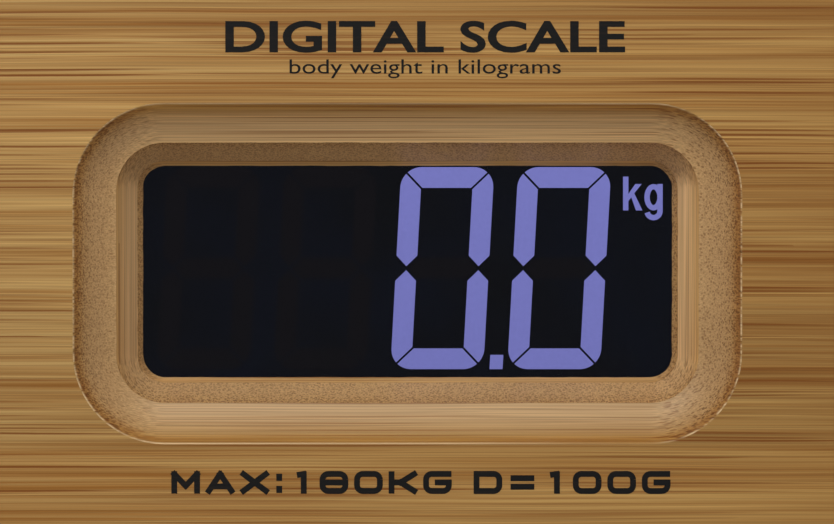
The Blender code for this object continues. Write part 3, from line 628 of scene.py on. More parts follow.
def pocketCutters():
    # everything that is let into the board from below
    values = pocketValues
    spare = values["clearance"]
    overlap = values["overlap"]
    below = bottomLow.z - overlap
    trayLow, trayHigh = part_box("electronics_tray")
    outline = roundedOutline((trayHigh.x - trayLow.x) / 2 + spare, (trayHigh.y - trayLow.y) / 2 + spare,
                             values["trayCorner"], 10, 2, 2)
    middle = centreOf("electronics_tray")
    trayPocket = bmesh.new()
    addPlate(trayPocket, [(middle[0] + point.x, middle[1] + point.y) for point in outline], below, ledge)
    cellLow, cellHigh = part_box("battery_1")
    otherLow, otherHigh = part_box("battery_2")
    reachX = values["tubEnds"] + values["tubWall"] + spare
    reachY = values["tubWall"] + 2 * spare
    cutters = [makeCutter("trayPocket", trayPocket), boxCutter(
        "tubPocket", (min(cellLow.x, otherLow.x) - reachX, min(cellLow.y, otherLow.y) - reachY, below),
        (max(cellHigh.x, otherHigh.x) + reachX, max(cellHigh.y, otherHigh.y) + reachY, trayHigh.z + spare))]
    half = values["grooveHalf"]
    grooveTop = bottomLow.z + values["grooveDepth"]
    for corner in corners:
        mountLow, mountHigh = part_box("foot_mount_" + corner)
        footX, footY = centreOf("foot_mount_" + corner)
        radius = (mountHigh.x - mountLow.x) / 2 - values["footFlange"]
        cutters.append(roundCutter("footPocket", (footX, footY), radius, below,
                                   lowerGlue + boardValues["glueLine"], 72))
        side = 1 if footX > 0 else -1
        inner = side * ((trayHigh.x - trayLow.x) / 2 - mm)
        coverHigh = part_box("wire_cover_" + corner)[1]
        turnY = coverHigh.y + spare - half
        farX = footX if footY < 0 else footX - side * (radius - overlap)
        cutters.append(boxCutter("groove", (min(inner, farX), turnY - half, below),
                                 (max(inner, farX), turnY + half, grooveTop)))
        if footY < 0:
            cutters.append(boxCutter("groove", (footX - half, footY + radius - overlap, below),
                                     (footX + half, turnY + half, grooveTop)))
        for index in (1, 2):
            spot = centreOf(f"foot_screw_{corner}_{index}")
            cutters.append(roundCutter("pilot", spot, values["pilot"], below, bottomHigh.z))
    for index in range(1, 5):
        node = f"tray_screw_{index}"
        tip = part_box(node)[1].z + values["pilotSpare"]
        cutters.append(roundCutter("pilot", centreOf(node), values["pilot"], below, tip))
    return cutters


def makeBottomPly(material):
    share = recessValues["coveShare"] + recessValues["slopeShare"]
    high = lowerGlue - boardValues["glueLine"]
    steps = 5
    rings = []
    for step in range(steps + 1):
        part = step / steps
        waver = recessValues["sawWaver" if step < steps else "plyWaver"]
        rings.append(bankRing(1 - (1 - share) * part, ledge + (high - ledge) * part, waver, 3))
    rings.append(boardRing(0, high))
    rings += roundedRim(bottomLow.z, -1)[::-1]
    rings.append(bankRing(0.9, bottomLow.z))
    bm = cutBy(loftRings(rings), pocketCutters())
    piece = makePiece("bottomPly", bm, material)
    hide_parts("bottom_ply")


coreSkin = upperGlue + boardValues["skinDepth"]
bottomSkin = lowerGlue + boardValues["skinDepth"]
makeTopPly(makeBamboo(
    "lacqueredBambooTopPly", along="x", plyTop=boardTop, plyThickness=boardTop - upperGlue, seed=1.0,
    skin=1.8, layers=20, tone=1.0, deep=bambooValues["deep"]))
makeCorePly(makeBamboo(
    "lacqueredBambooCorePly", along="y", plyTop=coreSkin, plyThickness=coreSkin - lowerGlue, seed=2.0,
    skin=1.0, layers=21, tone=1.19, deep=bambooValues["coreDeep"]))
makeBottomPly(makeBamboo(
    "lacqueredBambooBottomPly", along="x", plyTop=bottomSkin, plyThickness=bottomSkin - bottomLow.z,
    seed=3.0, skin=1.8, layers=20, tone=1.12, deep=bambooValues["deep"]))
print("board made")


displayValues = {
    "digitWidth": 13.2,      # mm
    "digitHeight": 28.7,
    "digitPitch": 16.6,
    "digitBottom": -13.9,    # from the window's middle
    "firstDigit": -34.85,    # left side of the first digit at mid height
    "bar": 2.95,             # width of a segment
    "gap": 0.28,             # between segments
    "corner": 2.9,
    "shoulder": 1.5,         # how far a point at mid height reaches past its shoulders
    "slant": 3.1,            # degrees
    "point": 1.85,
    "pointLeft": 11.65,
    "litStrength": 1.14,
    "ghostStrength": 0.42,
    "lit": "#7B7CC2",
    "ghost": "#151118",
    "ground": "#0B0D18",
    "groundBlue": "#0A1226",
    "groundStrength": 0.3,
    "digits": 4,
    "litFrom": 2,            # the digits before this one stay dark
    "segmentGap": 0.03 * mm,
    "segmentThickness": 0.05 * mm,
}


def makeClearAcrylic():
    # Clear cast acrylic, polished, with the faint haze of wiping.
    material, tree, shader = startMaterial("polishedClearAcrylic", 0.03)
    shader.inputs["Base Color"].default_value = linear("#E9EAEE")
    shader.inputs["Transmission Weight"].default_value = 1.0
    shader.inputs["IOR"].default_value = 1.49
    shader.inputs["Specular IOR Level"].default_value = 0.06
    place = addNode(tree, "ShaderNodeTexCoord").node.outputs["Object"]
    haze = addNode(tree, "ShaderNodeTexNoise", {"Vector": place, "Scale": 90.0, "Detail": 3.0})
    haze = addNode(tree, "ShaderNodeMapRange", {0: haze, 1: 0.3, 2: 0.7, 3: 0.015, 4: 0.05})
    tree.links.new(haze, shader.inputs["Roughness"])
    return material


def makeDisplayGround():
    # The dark field of a reversed liquid crystal glass: a little backlight leaks through, bluer in places.
    material, tree, shader = startMaterial("reversedLiquidCrystalGlass", 0.12)
    shader.inputs["Base Color"].default_value = linear("#050608")
    shader.inputs["Specular IOR Level"].default_value = 0.0
    place = addNode(tree, "ShaderNodeTexCoord").node.outputs["Object"]
    leak = addNode(tree, "ShaderNodeTexNoise", {"Vector": place, "Scale": 70.0, "Detail": 2.0})
    leak = addNode(tree, "ShaderNodeMapRange", {0: leak, 1: 0.35, 2: 0.65, 3: 0.0, 4: 1.0})
    glow = addNode(tree, "ShaderNodeMix", {
        0: leak, 6: linear(displayValues["ground"]), 7: linear(displayValues["groundBlue"])},
        data_type="RGBA")
    tree.links.new(glow, shader.inputs["Emission Color"])
    shader.inputs["Emission Strength"].default_value = displayValues["groundStrength"]
    return material


def makeSegmentGlow(name, colour, strength):
    # A segment's printed colour filter with the backlight behind it, a touch dimmer towards the near edge.
    material, tree, shader = startMaterial(name, 0.4)
    shader.inputs["Base Color"].default_value = linear("#050608")
    shader.inputs["Specular IOR Level"].default_value = 0.0
    place = addNode(tree, "ShaderNodeTexCoord").node.outputs["Object"]
    height = addNode(tree, "ShaderNodeSeparateXYZ", {0: place}).node.outputs[1]
    fall = addNode(tree, "ShaderNodeMapRange", {
        0: height, 1: displayY - 15 * mm, 2: displayY + 15 * mm, 3: 0.93, 4: 1.02})
    grain = addNode(tree, "ShaderNodeTexNoise", {"Vector": place, "Scale": 2500.0, "Detail": 1.0})
    grain = addNode(tree, "ShaderNodeMapRange", {0: grain, 1: 0.3, 2: 0.7, 3: 0.97, 4: 1.03})
    shade = addNode(tree, "ShaderNodeMath", {0: fall, 1: grain}, operation="MULTIPLY")
    glow = addNode(tree, "ShaderNodeVectorMath", {0: linear(colour)[:3], "Scale": shade}, operation="SCALE")
    tree.links.new(glow, shader.inputs["Emission Color"])
    shader.inputs["Emission Strength"].default_value = strength
    return material


def arcPoints(centre, radius, start, end, steps=6):
    points = []
    for step in range(steps + 1):
        turn = math.radians(start + (end - start) * step / steps)
        points.append((centre[0] + radius * math.cos(turn), centre[1] + radius * math.sin(turn)))
    return points


def segmentShapes():
    # The seven segments' outlines in a digit's own upright frame, in mm from its lower left corner.
    values = displayValues
    wide, high, bar, corner = values["digitWidth"], values["digitHeight"], values["bar"], values["corner"]
    middle = high / 2
    mitre = values["gap"] / 2 * math.sqrt(2)
    trim = math.degrees(math.asin(values["gap"] / 2 / corner))
    tip = middle + values["gap"]
    shoulder = tip + values["shoulder"]
    top = arcPoints((corner, high - corner), corner, 135 - trim, 90)
    top += arcPoints((wide - corner, high - corner), corner, 90, 45 + trim)
    top += [(wide - bar - mitre, high - bar), (bar + mitre, high - bar)]
    side = arcPoints((corner, high - corner), corner, 180, 135 + trim)
    side += [(bar, high - bar - mitre), (bar, shoulder), (bar / 2, tip), (0, shoulder)]
    inset = bar / 2 + values["gap"]
    bridge = [(inset, middle), (bar + mitre, middle + bar / 2), (wide - bar - mitre, middle + bar / 2),
              (wide - inset, middle), (wide - bar - mitre, middle - bar / 2), (bar + mitre, middle - bar / 2)]
    otherSide = [(wide - x, y) for x, y in side]
    shapes = {"top": top, "farLeft": side, "farRight": otherSide, "middle": bridge}
    for name, other in (("top", "bottom"), ("farLeft", "nearLeft"), ("farRight", "nearRight")):
        shapes[other] = [(x, high - y) for x, y in shapes[name]]
    return shapes


def addDigit(bm, index, names, low, high):
    values = displayValues
    lean = math.tan(math.radians(values["slant"]))
    left = values["firstDigit"] + index * values["digitPitch"]
    for name, shape in segmentShapes().items():
        if name in names:
            points = [(displayX + (left + x + (y - values["digitHeight"] / 2) * lean) * mm,
                       displayY + (values["digitBottom"] + y) * mm) for x, y in shape]
            addPlate(bm, points, low, high)


def makeText(name, words, size, width, middle, low, high, material, bold):
    # Printed lettering: a thin solid, as wide as asked, with its middle where asked.
    curve = bpy.data.curves.new(name, "FONT")
    curve.body = words
    curve.size = size
    curve.offset = bold
    curve.extrude = (high - low) / 2
    curve.resolution_u = 6
    curve.align_x = "CENTER"
    curve.align_y = "CENTER"
    letters = bpy.data.objects.new(name + "Curve", curve)
    scene.collection.objects.link(letters)
    mesh = bpy.data.meshes.new_from_object(letters.evaluated_get(bpy.context.evaluated_depsgraph_get()))
    bpy.data.objects.remove(letters)
    bm = bmesh.new()
    bm.from_mesh(mesh)
    bmesh.ops.remove_doubles(bm, verts=bm.verts, dist=1e-7)
    left = min(vert.co.x for vert in bm.verts)
    right = max(vert.co.x for vert in bm.verts)
    near = min(vert.co.y for vert in bm.verts)
    far = max(vert.co.y for vert in bm.verts)
    stretch = width / (right - left)
    for vert in bm.verts:
        vert.co.x = middle[0] + (vert.co.x - (left + right) / 2) * stretch
        vert.co.y = middle[1] + vert.co.y - (near + far) / 2
        vert.co.z += (low + high) / 2
    makePiece(name, bm, material)


unitValues = {
    "left": 30.6,            # mm from the window's middle
    "baseline": 8.65,
    "tall": 4.8,             # the k's stem
    "small": 3.75,           # the g's bowl
    "stroke": 0.76,
    "kWidth": 2.75,
    "gWidth": 2.6,
    "tail": 1.4,             # below the baseline
}


def strokePoints(path, width):
    # both sides of a path, as one closed outline
    points = [Vector(point) for point in path]
    left = []
    right = []
    for index, point in enumerate(points):
        along = (points[min(index + 1, len(points) - 1)] - points[max(index - 1, 0)]).normalized()
        across = Vector((-along.y, along.x)) * width / 2
        left.append(tuple(point + across))
        right.append(tuple(point - across))
    return left + right[::-1]


def makeUnitMark(low, high, material):
    # a plain round-bowled "kg"
    values = unitValues
    stroke = values["stroke"]
    tall, small = values["tall"], values["small"]
    armTop = (values["kWidth"] - 0.1, small)
    armFoot = (values["kWidth"], 0)
    knee = small * 0.42
    k = [(0, 0), (stroke, 0), (stroke, knee - 0.25), (stroke * 1.55, knee + 0.28),
         (armFoot[0] - stroke * 1.2, 0), armFoot, (stroke * 2.1, knee + 0.85), armTop,
         (armTop[0] - stroke * 1.2, small), (stroke, knee + 0.75), (stroke, tall), (0, tall)]
    gLeft = values["kWidth"] + 0.28
    bowl = (gLeft + values["gWidth"] / 2, small / 2)
    reach = (values["gWidth"] / 2 - stroke / 2, small / 2 - stroke / 2)
    ring = [(bowl[0] + reach[0] * math.cos(turn), bowl[1] + reach[1] * math.sin(turn))
            for turn in (2 * math.pi * step / 28 for step in range(29))]
    stemX = gLeft + values["gWidth"] - stroke / 2
    hookRadius = values["gWidth"] / 2 - stroke / 2
    hookY = hookRadius - values["tail"] + stroke / 2
    stem = [(stemX, small), (stemX, hookY)]
    stem += [(stemX - hookRadius + hookRadius * math.cos(math.radians(turn)),
              hookY + hookRadius * math.sin(math.radians(turn))) for turn in range(-12, -171, -12)]
    pieces = []
    for outline in (strokePoints(ring, stroke), strokePoints(stem, stroke), k):
        bm = bmesh.new()
        addPlate(bm, [(displayX + (values["left"] + x) * mm, displayY + (values["baseline"] + y) * mm)
                      for x, y in outline], low, high)
        bmesh.ops.recalc_face_normals(bm, faces=bm.faces)
        mesh = bpy.data.meshes.new("unitMarkPart")
        bm.to_mesh(mesh)
        bm.free()
        thing = bpy.data.objects.new("unitMarkPart", mesh)
        scene.collection.objects.link(thing)
        pieces.append(thing)
    mark = pieces.pop()
    for other in pieces:
        union = mark.modifiers.new("join", "BOOLEAN")
        union.operation = "UNION"
        union.object = other
    finished = applied(mark)
    for other in (mark, *pieces):
        bpy.data.objects.remove(other)
    bm = bmesh.new()
    bm.from_mesh(finished)
    makePiece("unitMark", bm, material)


def makeDisplay():
    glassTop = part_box("lcd_panel")[1].z
    low = glassTop + displayValues["segmentGap"]
    high = low + displayValues["segmentThickness"]
    ring = ("top", "bottom", "farLeft", "farRight", "nearLeft", "nearRight")
    glow = makeSegmentGlow("litSegmentFilter", displayValues["lit"], displayValues["litStrength"])
    dark = makeSegmentGlow("unlitSegmentFilter", displayValues["ghost"], displayValues["ghostStrength"])
    lit = bmesh.new()
    ghost = bmesh.new()
    for index in range(displayValues["digits"]):
        if index < displayValues["litFrom"]:
            addDigit(ghost, index, ring + ("middle",), low, high)
        else:
            addDigit(lit, index, ring, low, high)
            addDigit(ghost, index, ("middle",), low, high)
    side = displayValues["point"] * mm
    left = displayX + displayValues["pointLeft"] * mm
    near = displayY + displayValues["digitBottom"] * mm
    addPlate(lit, [(left, near), (left + side, near), (left + side * 1.06, near + side * 1.1),
                   (left + side * 0.06, near + side * 1.1)], low, high)
    makePiece("litSegments", lit, glow)
    makePiece("unlitSegments", ghost, dark)
    makeUnitMark(low, high, glow)
    nodes["display_lens"].data.materials[0] = makeClearAcrylic()
    nodes["lcd_panel"].data.materials[0] = makeDisplayGround()


printValues = {
    "title": "DIGITAL SCALE",
    "titleWidth": 56 * mm,
    "titleSize": 6.0 * mm,
    "titlePlace": (2.5 * mm, 33.2 * mm),   # from the window's middle
    "titleBold": 0.14 * mm,
    "line": "body weight in kilograms",
    "lineWidth": 38 * mm,
    "lineSize": 2.9 * mm,
    "linePlace": (2.5 * mm, 28.7 * mm),
    "lineBold": 0.0,
    "range": "MAX:180KG D=100G",
    "rangePlace": (-32.7, -30.5),          # mm, its lower left corner from the window's middle
    "letterWidth": 3.2,                    # mm, between the middles of its sides
    "letterHeight": 2.4,
    "letterGap": 1.64,
    "letterStroke": 0.82,
    "letterCorner": 0.8,
    "letterEnd": 0.45,                     # of the stroke, how far it runs past its last point
    "letterStep": 0.002 * mm,
    "thickness": 0.03 * mm,
    "sunk": 0.01 * mm,
}


def makePrintingInk():
    # Black pad-printing ink on lacquer: matt, thinner over the open fibres.
    material, tree, shader = startMaterial("blackPadPrintingInk", 0.6)
    shader.inputs["Specular IOR Level"].default_value = 0.25
    place = addNode(tree, "ShaderNodeTexCoord").node.outputs["Object"]
    stretched = addNode(tree, "ShaderNodeVectorMath", {0: place, 1: (60, 2600, 60)}, operation="MULTIPLY")
    thin = addNode(tree, "ShaderNodeTexNoise", {"Vector": stretched, "Scale": 1.0, "Detail": 3.0})
    thin = addNode(tree, "ShaderNodeMapRange", {0: thin, 1: 0.5, 2: 0.75, 3: 0.0, 4: 0.5})
    colour = addNode(tree, "ShaderNodeMix", {0: thin, 6: linear("#0C0B0A"), 7: linear("#2A1D12")},
                     data_type="RGBA")
    tree.links.new(colour, shader.inputs["Base Color"])
    return material


def letterPaths(letter):
    # the middle lines of a plain square letter's strokes, in mm from its lower left corner
    wide, high, turn = printValues["letterWidth"], printValues["letterHeight"], printValues["letterCorner"]
    middle = high / 2
    farLeft = arcPoints((turn, high - turn), turn, 90, 180)
    nearLeft = arcPoints((turn, turn), turn, 180, 270)
    nearRight = arcPoints((wide - turn, turn), turn, 270, 360)
    farRight = arcPoints((wide - turn, high - turn), turn, 0, 90)
    stem = [(0, 0), (0, high)]
    loop = farRight + farLeft + nearLeft + nearRight + farRight[:1]
    lowBar, highBar = high * 0.25, high * 0.75
    shapes = {
        "M": (wide, [stem, [(0, high), (wide / 2, high * 0.3)], [(wide / 2, high * 0.3), (wide, high)],
                     [(wide, high), (wide, 0)]]),
        "A": (wide, [[(0, 0), (wide / 2, high)], [(wide / 2, high), (wide, 0)],
                     [(wide * 0.22, high * 0.27), (wide * 0.78, high * 0.27)]]),
        "X": (wide, [[(0, 0), (wide, high)], [(0, high), (wide, 0)]]),
        ":": (0.4, [[(0.2, 0.1), (0.2, 0.35)], [(0.2, high - 0.6), (0.2, high - 0.35)]]),
        "1": (2.6, [[(1.6, 0), (1.6, high)], [(1.6, high), (1.0, high - 0.1)]]),
        "8": (wide, [loop, [(0, middle), (wide, middle)]]),
        "0": (wide, [loop]),
        "K": (wide, [stem, [(0, middle), (wide * 0.4, middle)], [(wide * 0.4, middle), (wide, high)],
                     [(wide * 0.4, middle), (wide, 0)]]),
        "G": (wide, [[(wide, high)] + farLeft + nearLeft + nearRight + [(wide, middle)],
                     [(wide, middle), (wide * 0.5, middle)]]),
        "D": (wide, [stem, [(0, 0)] + nearRight + farRight + [(0, high)]]),
        "=": (wide, [[(0.3, lowBar), (wide - 0.3, lowBar)], [(0.3, highBar), (wide - 0.3, highBar)]]),
        " ": (0.6, []),
    }
    return shapes[letter]


def makeRangeLine(low, high, material):
    # strokes that cross lie at slightly different heights
    values = printValues
    stroke = values["letterStroke"]
    bm = bmesh.new()
    across = 0
    count = 0
    for letter in values["range"]:
        width, paths = letterPaths(letter)
        for path in paths:
            ends = [Vector(path[0]), Vector(path[-1])]
            if (ends[0] - ends[1]).length > 0.01:
                ends[0] += (ends[0] - Vector(path[1])).normalized() * stroke * values["letterEnd"]
                ends[1] += (ends[1] - Vector(path[-2])).normalized() * stroke * values["letterEnd"]
            outline = strokePoints([ends[0], *path[1:-1], ends[1]], stroke)
            top = high + (count % 4) * values["letterStep"]
            addPlate(bm, [(displayX + (values["rangePlace"][0] + across + x) * mm,
                           displayY + (values["rangePlace"][1] + y) * mm) for x, y in outline], low, top)
            count += 1
        across += width + values["letterGap"]
    makePiece("rangePrint", bm, material)


def makePrinting():
    ink = makePrintingInk()
    values = printValues
    low = boardTop - values["sunk"]
    high = boardTop + values["thickness"]
    makeRangeLine(low, high, ink)
    for name in ("title", "line"):
        middle = Vector((displayX, displayY)) + Vector(values[name + "Place"])
        makeText(name + "Print", values[name], values[name + "Size"], values[name + "Width"], middle, low,
                 high, ink, values[name + "Bold"])


makeDisplay()
makePrinting()
print("display and printing made")


def makeMouldedPlastic(name, colour, grain, roughness, relief):
    # Injection-moulded ABS from a spark-eroded tool: even colour, a fine pitted grain that
    # breaks up the shine, and slightly glossier where hands have rubbed it.
    material, tree, shader = startMaterial(name, roughness)
    place = addNode(tree, "ShaderNodeTexCoord").node.outputs["Object"]
    pits = addNode(tree, "ShaderNodeTexVoronoi", {"Vector": place, "Scale": 1 / (grain * mm)},
                   feature="SMOOTH_F1")
    rubbed = addNode(tree, "ShaderNodeTexNoise", {"Vector": place, "Scale": 35.0, "Detail": 3.0})
    rubbedRoughness = addNode(tree, "ShaderNodeMapRange", {
        0: rubbed, 1: 0.3, 2: 0.7, 3: roughness - 0.08, 4: roughness + 0.08})
    tree.links.new(rubbedRoughness, shader.inputs["Roughness"])
    shade = addNode(tree, "ShaderNodeMapRange", {0: rubbed, 1: 0.3, 2: 0.7, 3: 0.88, 4: 1.12})
    tint = addNode(tree, "ShaderNodeVectorMath", {0: linear(colour)[:3], "Scale": shade}, operation="SCALE")
    tree.links.new(tint, shader.inputs["Base Color"])
    bump = addNode(tree, "ShaderNodeBump", {"Height": pits, "Strength": relief, "Distance": 0.03 * mm})
    tree.links.new(bump, shader.inputs["Normal"])
    return material


def makeRubber(name, colour, grain):
    # Moulded elastomer: matt, a dusty bloom in patches, a soft sheen at grazing angles.
    material, tree, shader = startMaterial(name, 0.82)
    shader.inputs["Sheen Weight"].default_value = 0.25
    shader.inputs["Sheen Roughness"].default_value = 0.6
    place = addNode(tree, "ShaderNodeTexCoord").node.outputs["Object"]
    bloom = addNode(tree, "ShaderNodeTexNoise", {"Vector": place, "Scale": 120.0, "Detail": 4.0})
    share = addNode(tree, "ShaderNodeMapRange", {0: bloom, 1: 0.45, 2: 0.75, 3: 0.0, 4: 0.35})
    tint = addNode(tree, "ShaderNodeMix", {0: share, 6: linear(colour), 7: linear("#6A6A68")},
                   data_type="RGBA")
    tree.links.new(tint, shader.inputs["Base Color"])
    skin = addNode(tree, "ShaderNodeTexNoise", {"Vector": place, "Scale": 1 / (grain * mm), "Detail": 2.0})
    bump = addNode(tree, "ShaderNodeBump", {"Height": skin, "Strength": 0.5, "Distance": 0.04 * mm})
    tree.links.new(bump, shader.inputs["Normal"])
    return material


def makeMetal(name, colour, roughness, brush):
    # Plated or bare steel; brush gives how much finer its scratches run across than along X.
    material, tree, shader = startMaterial(name, roughness, 1.0)
    place = addNode(tree, "ShaderNodeTexCoord").node.outputs["Object"]
    lines = addNode(tree, "ShaderNodeVectorMath", {0: place, 1: (2500 / brush, 2500, 2500)},
                    operation="MULTIPLY")
    lines = addNode(tree, "ShaderNodeTexNoise", {"Vector": lines, "Scale": 1.0, "Detail": 3.0})
    stain = addNode(tree, "ShaderNodeTexNoise", {"Vector": place, "Scale": 90.0, "Detail": 3.0})
    shade = addNode(tree, "ShaderNodeMapRange", {0: stain, 1: 0.3, 2: 0.7, 3: 0.86, 4: 1.06})
    tint = addNode(tree, "ShaderNodeVectorMath", {0: linear(colour)[:3], "Scale": shade}, operation="SCALE")
    tree.links.new(tint, shader.inputs["Base Color"])
    rough = addNode(tree, "ShaderNodeMapRange", {
        0: lines, 1: 0.3, 2: 0.7, 3: roughness - 0.1, 4: roughness + 0.12})
    tree.links.new(rough, shader.inputs["Roughness"])
    bump = addNode(tree, "ShaderNodeBump", {"Height": lines, "Strength": 0.15, "Distance": 0.02 * mm})
    tree.links.new(bump, shader.inputs["Normal"])
    return material


def makeCircuitBoard():
    # Glass-epoxy board under green solder mask: copper tracks show through it, with tinned holes.
    material, tree, shader = startMaterial("greenSolderMaskBoard", 0.35)
    pinPitch = 2.54 * mm
    place = addNode(tree, "ShaderNodeTexCoord").node.outputs["Object"]
    tracks = addNode(tree, "ShaderNodeTexBrick", {
        "Vector": place, "Scale": 1.0, "Mortar Size": 0.35 * mm, "Mortar Smooth": 0.2,
        "Brick Width": 3 * pinPitch, "Row Height": pinPitch, "Color1": (0, 0, 0, 1), "Color2": (0, 0, 0, 1),
        "Mortar": (1, 1, 1, 1)})
    holes = addNode(tree, "ShaderNodeTexVoronoi", {
        "Vector": place, "Scale": 1 / pinPitch, "Randomness": 0.0})
    holes = addNode(tree, "ShaderNodeMapRange", {0: holes, 1: 0.17, 2: 0.2, 3: 1.0, 4: 0.0})
    tint = addNode(tree, "ShaderNodeMix", {0: tracks, 6: linear("#0F5A30"), 7: linear("#2F8A4C")},
                   data_type="RGBA")
    tint = addNode(tree, "ShaderNodeMix", {0: holes, 6: tint, 7: linear("#B9B4A6")}, data_type="RGBA")
    tree.links.new(tint, shader.inputs["Base Color"])
    tree.links.new(holes, shader.inputs["Metallic"])
    bump = addNode(tree, "ShaderNodeBump", {"Height": tracks, "Strength": 0.4, "Distance": 0.03 * mm})
    tree.links.new(bump, shader.inputs["Normal"])
    return material


def makeCellJacket(plusEnd):
    # Printed shrink film on a dry cell: dark, with a copper-coloured band at its plus end.
    material, tree, shader = startMaterial("printedShrinkFilm", 0.3)
    place = addNode(tree, "ShaderNodeTexCoord").node.outputs["Object"]
    along = addNode(tree, "ShaderNodeSeparateXYZ", {0: place})
    start, side = plusEnd
    bandWidth = 12 * mm
    band = addNode(tree, "ShaderNodeMapRange", {
        0: along, 1: start + side * (bandWidth - 0.2 * mm), 2: start + side * bandWidth, 3: 0.0, 4: 1.0})
    flecks = addNode(tree, "ShaderNodeTexNoise", {"Vector": place, "Scale": 900.0, "Detail": 2.0})
    flecks = addNode(tree, "ShaderNodeMapRange", {0: flecks, 1: 0.3, 2: 0.7, 3: 0.85, 4: 1.15})
    tint = addNode(tree, "ShaderNodeMix", {0: band, 6: linear("#B4703A"), 7: linear("#25272C")},
                   data_type="RGBA")
    tint = addNode(tree, "ShaderNodeVectorMath", {0: tint, "Scale": flecks}, operation="SCALE")
    tree.links.new(tint, shader.inputs["Base Color"])
    return material


def makeFrostedGuide():
    # Clear acrylic with a printed dot pattern that spreads the light.
    material, tree, shader = startMaterial("dottedClearAcrylic", 0.25)
    shader.inputs["Transmission Weight"].default_value = 0.7
    shader.inputs["IOR"].default_value = 1.49
    place = addNode(tree, "ShaderNodeTexCoord").node.outputs["Object"]
    dotPitch = 0.9 * mm
    dots = addNode(tree, "ShaderNodeTexVoronoi", {"Vector": place, "Scale": 1 / dotPitch, "Randomness": 0.0})
    dots = addNode(tree, "ShaderNodeMapRange", {0: dots, 1: 0.28, 2: 0.34, 3: 1.0, 4: 0.0})
    tint = addNode(tree, "ShaderNodeMix", {0: dots, 6: linear("#DDE2E8"), 7: linear("#FFFFFF")},
                   data_type="RGBA")
    tree.links.new(tint, shader.inputs["Base Color"])
    frost = addNode(tree, "ShaderNodeMapRange", {0: dots, 1: 0.0, 2: 1.0, 3: 0.15, 4: 0.6})
    tree.links.new(frost, shader.inputs["Roughness"])
    return material


def makeWireSleeve():
    # Soft PVC sleeve, drawn over the wires: red, a little uneven, with a dull shine.
    material, tree, shader = startMaterial("softVinylSleeve", 0.42)
    place = addNode(tree, "ShaderNodeTexCoord").node.outputs["Object"]
    uneven = addNode(tree, "ShaderNodeTexNoise", {"Vector": place, "Scale": 260.0, "Detail": 2.0})
    tint = addNode(tree, "ShaderNodeMix", {0: uneven, 6: linear("#7E1512"), 7: linear("#A92620")},
                   data_type="RGBA")
    tree.links.new(tint, shader.inputs["Base Color"])
    bump = addNode(tree, "ShaderNodeBump", {"Height": uneven, "Strength": 0.3, "Distance": 0.1 * mm})
    tree.links.new(bump, shader.inputs["Normal"])
    return material


blackPlastic = makeMouldedPlastic("blackMouldedAbs", "#1D1D1F", 0.35, 0.5, 0.5)
whitePlastic = makeMouldedPlastic("whiteMouldedAbs", "#DEDDD6", 0.5, 0.45, 0.3)
greyPlastic = makeMouldedPlastic("greyMouldedAbs", "#5B5D60", 0.3, 0.45, 0.4)
blackEpoxy = makeMouldedPlastic("blackPottingEpoxy", "#0C0C0D", 1.6, 0.22, 0.6)
soleRubber = makeRubber("blackSoleRubber", "#232324", 0.25)
stripRubber = makeRubber("greyContactRubber", "#77777A", 0.2)
nickelSteel = makeMetal("nickelPlatedSpringSteel", "#C9C4B6", 0.28, 1)
cellSteel = makeMetal("rolledSpringSteel", "#A9A8A4", 0.36, 14)
zincSteel = makeMetal("zincPlatedSteel", "#B9BBBD", 0.34, 1)
circuitBoard = makeCircuitBoard()
wireSleeve = makeWireSleeve()


def dress(material, *names):
    for name in names:
        nodes[name].data.materials[0] = material


def dressInside():
    # the pieces whose built shape stays
    dress(whitePlastic, "backlight_frame", "backlight_led")
    dress(stripRubber, "zebra_strip")
    dress(circuitBoard, "circuit_board", "switch_board")
    dress(blackEpoxy, "controller_chip")
    dress(greyPlastic, "switch_plunger")
    dress(makeFrostedGuide(), "light_guide")
    dress(zincSteel, "unit_switch")
    dress(nickelSteel, "contact_link", "contact_minus", "contact_plus", "contact_spring_link",
          "contact_spring_minus")
    for name, side in (("battery_1", 1), ("battery_2", -1)):
        low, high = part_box(name)
        dress(makeCellJacket((high.x, -1) if side > 0 else (low.x, 1)), name)
    for corner in corners:
        dress(cellSteel, "load_cell_" + corner)
        dress(wireSleeve, "wires_" + corner)


dressInside()
print("materials made")


footValues = {
    "fillet": 0.5 * mm,
    "cupBase": 3.0 * mm,        # above the cup's rim, where its floor's top is
    "padRecess": 1.1 * mm,      # how deep the pad sits in the cup
    "padClearance": 0.3 * mm,
    "hookBottom": 5.3 * mm,     # above the cup's rim
    "hookTop": 6.3 * mm,
    "wall": 2.7 * mm,
    "boss": 5 * mm,             # radius of the boss that presses the load cell
    "hookReach": 3 * mm,
    "lathedEdge": 0.45 * mm,
    "soleMargin": 2 * mm,       # from the pad's edge to its first groove
    "treadDepth": 0.45 * mm,
    "treadPitch": 2.4 * mm,
    "treadGroove": 0.9 * mm,
}


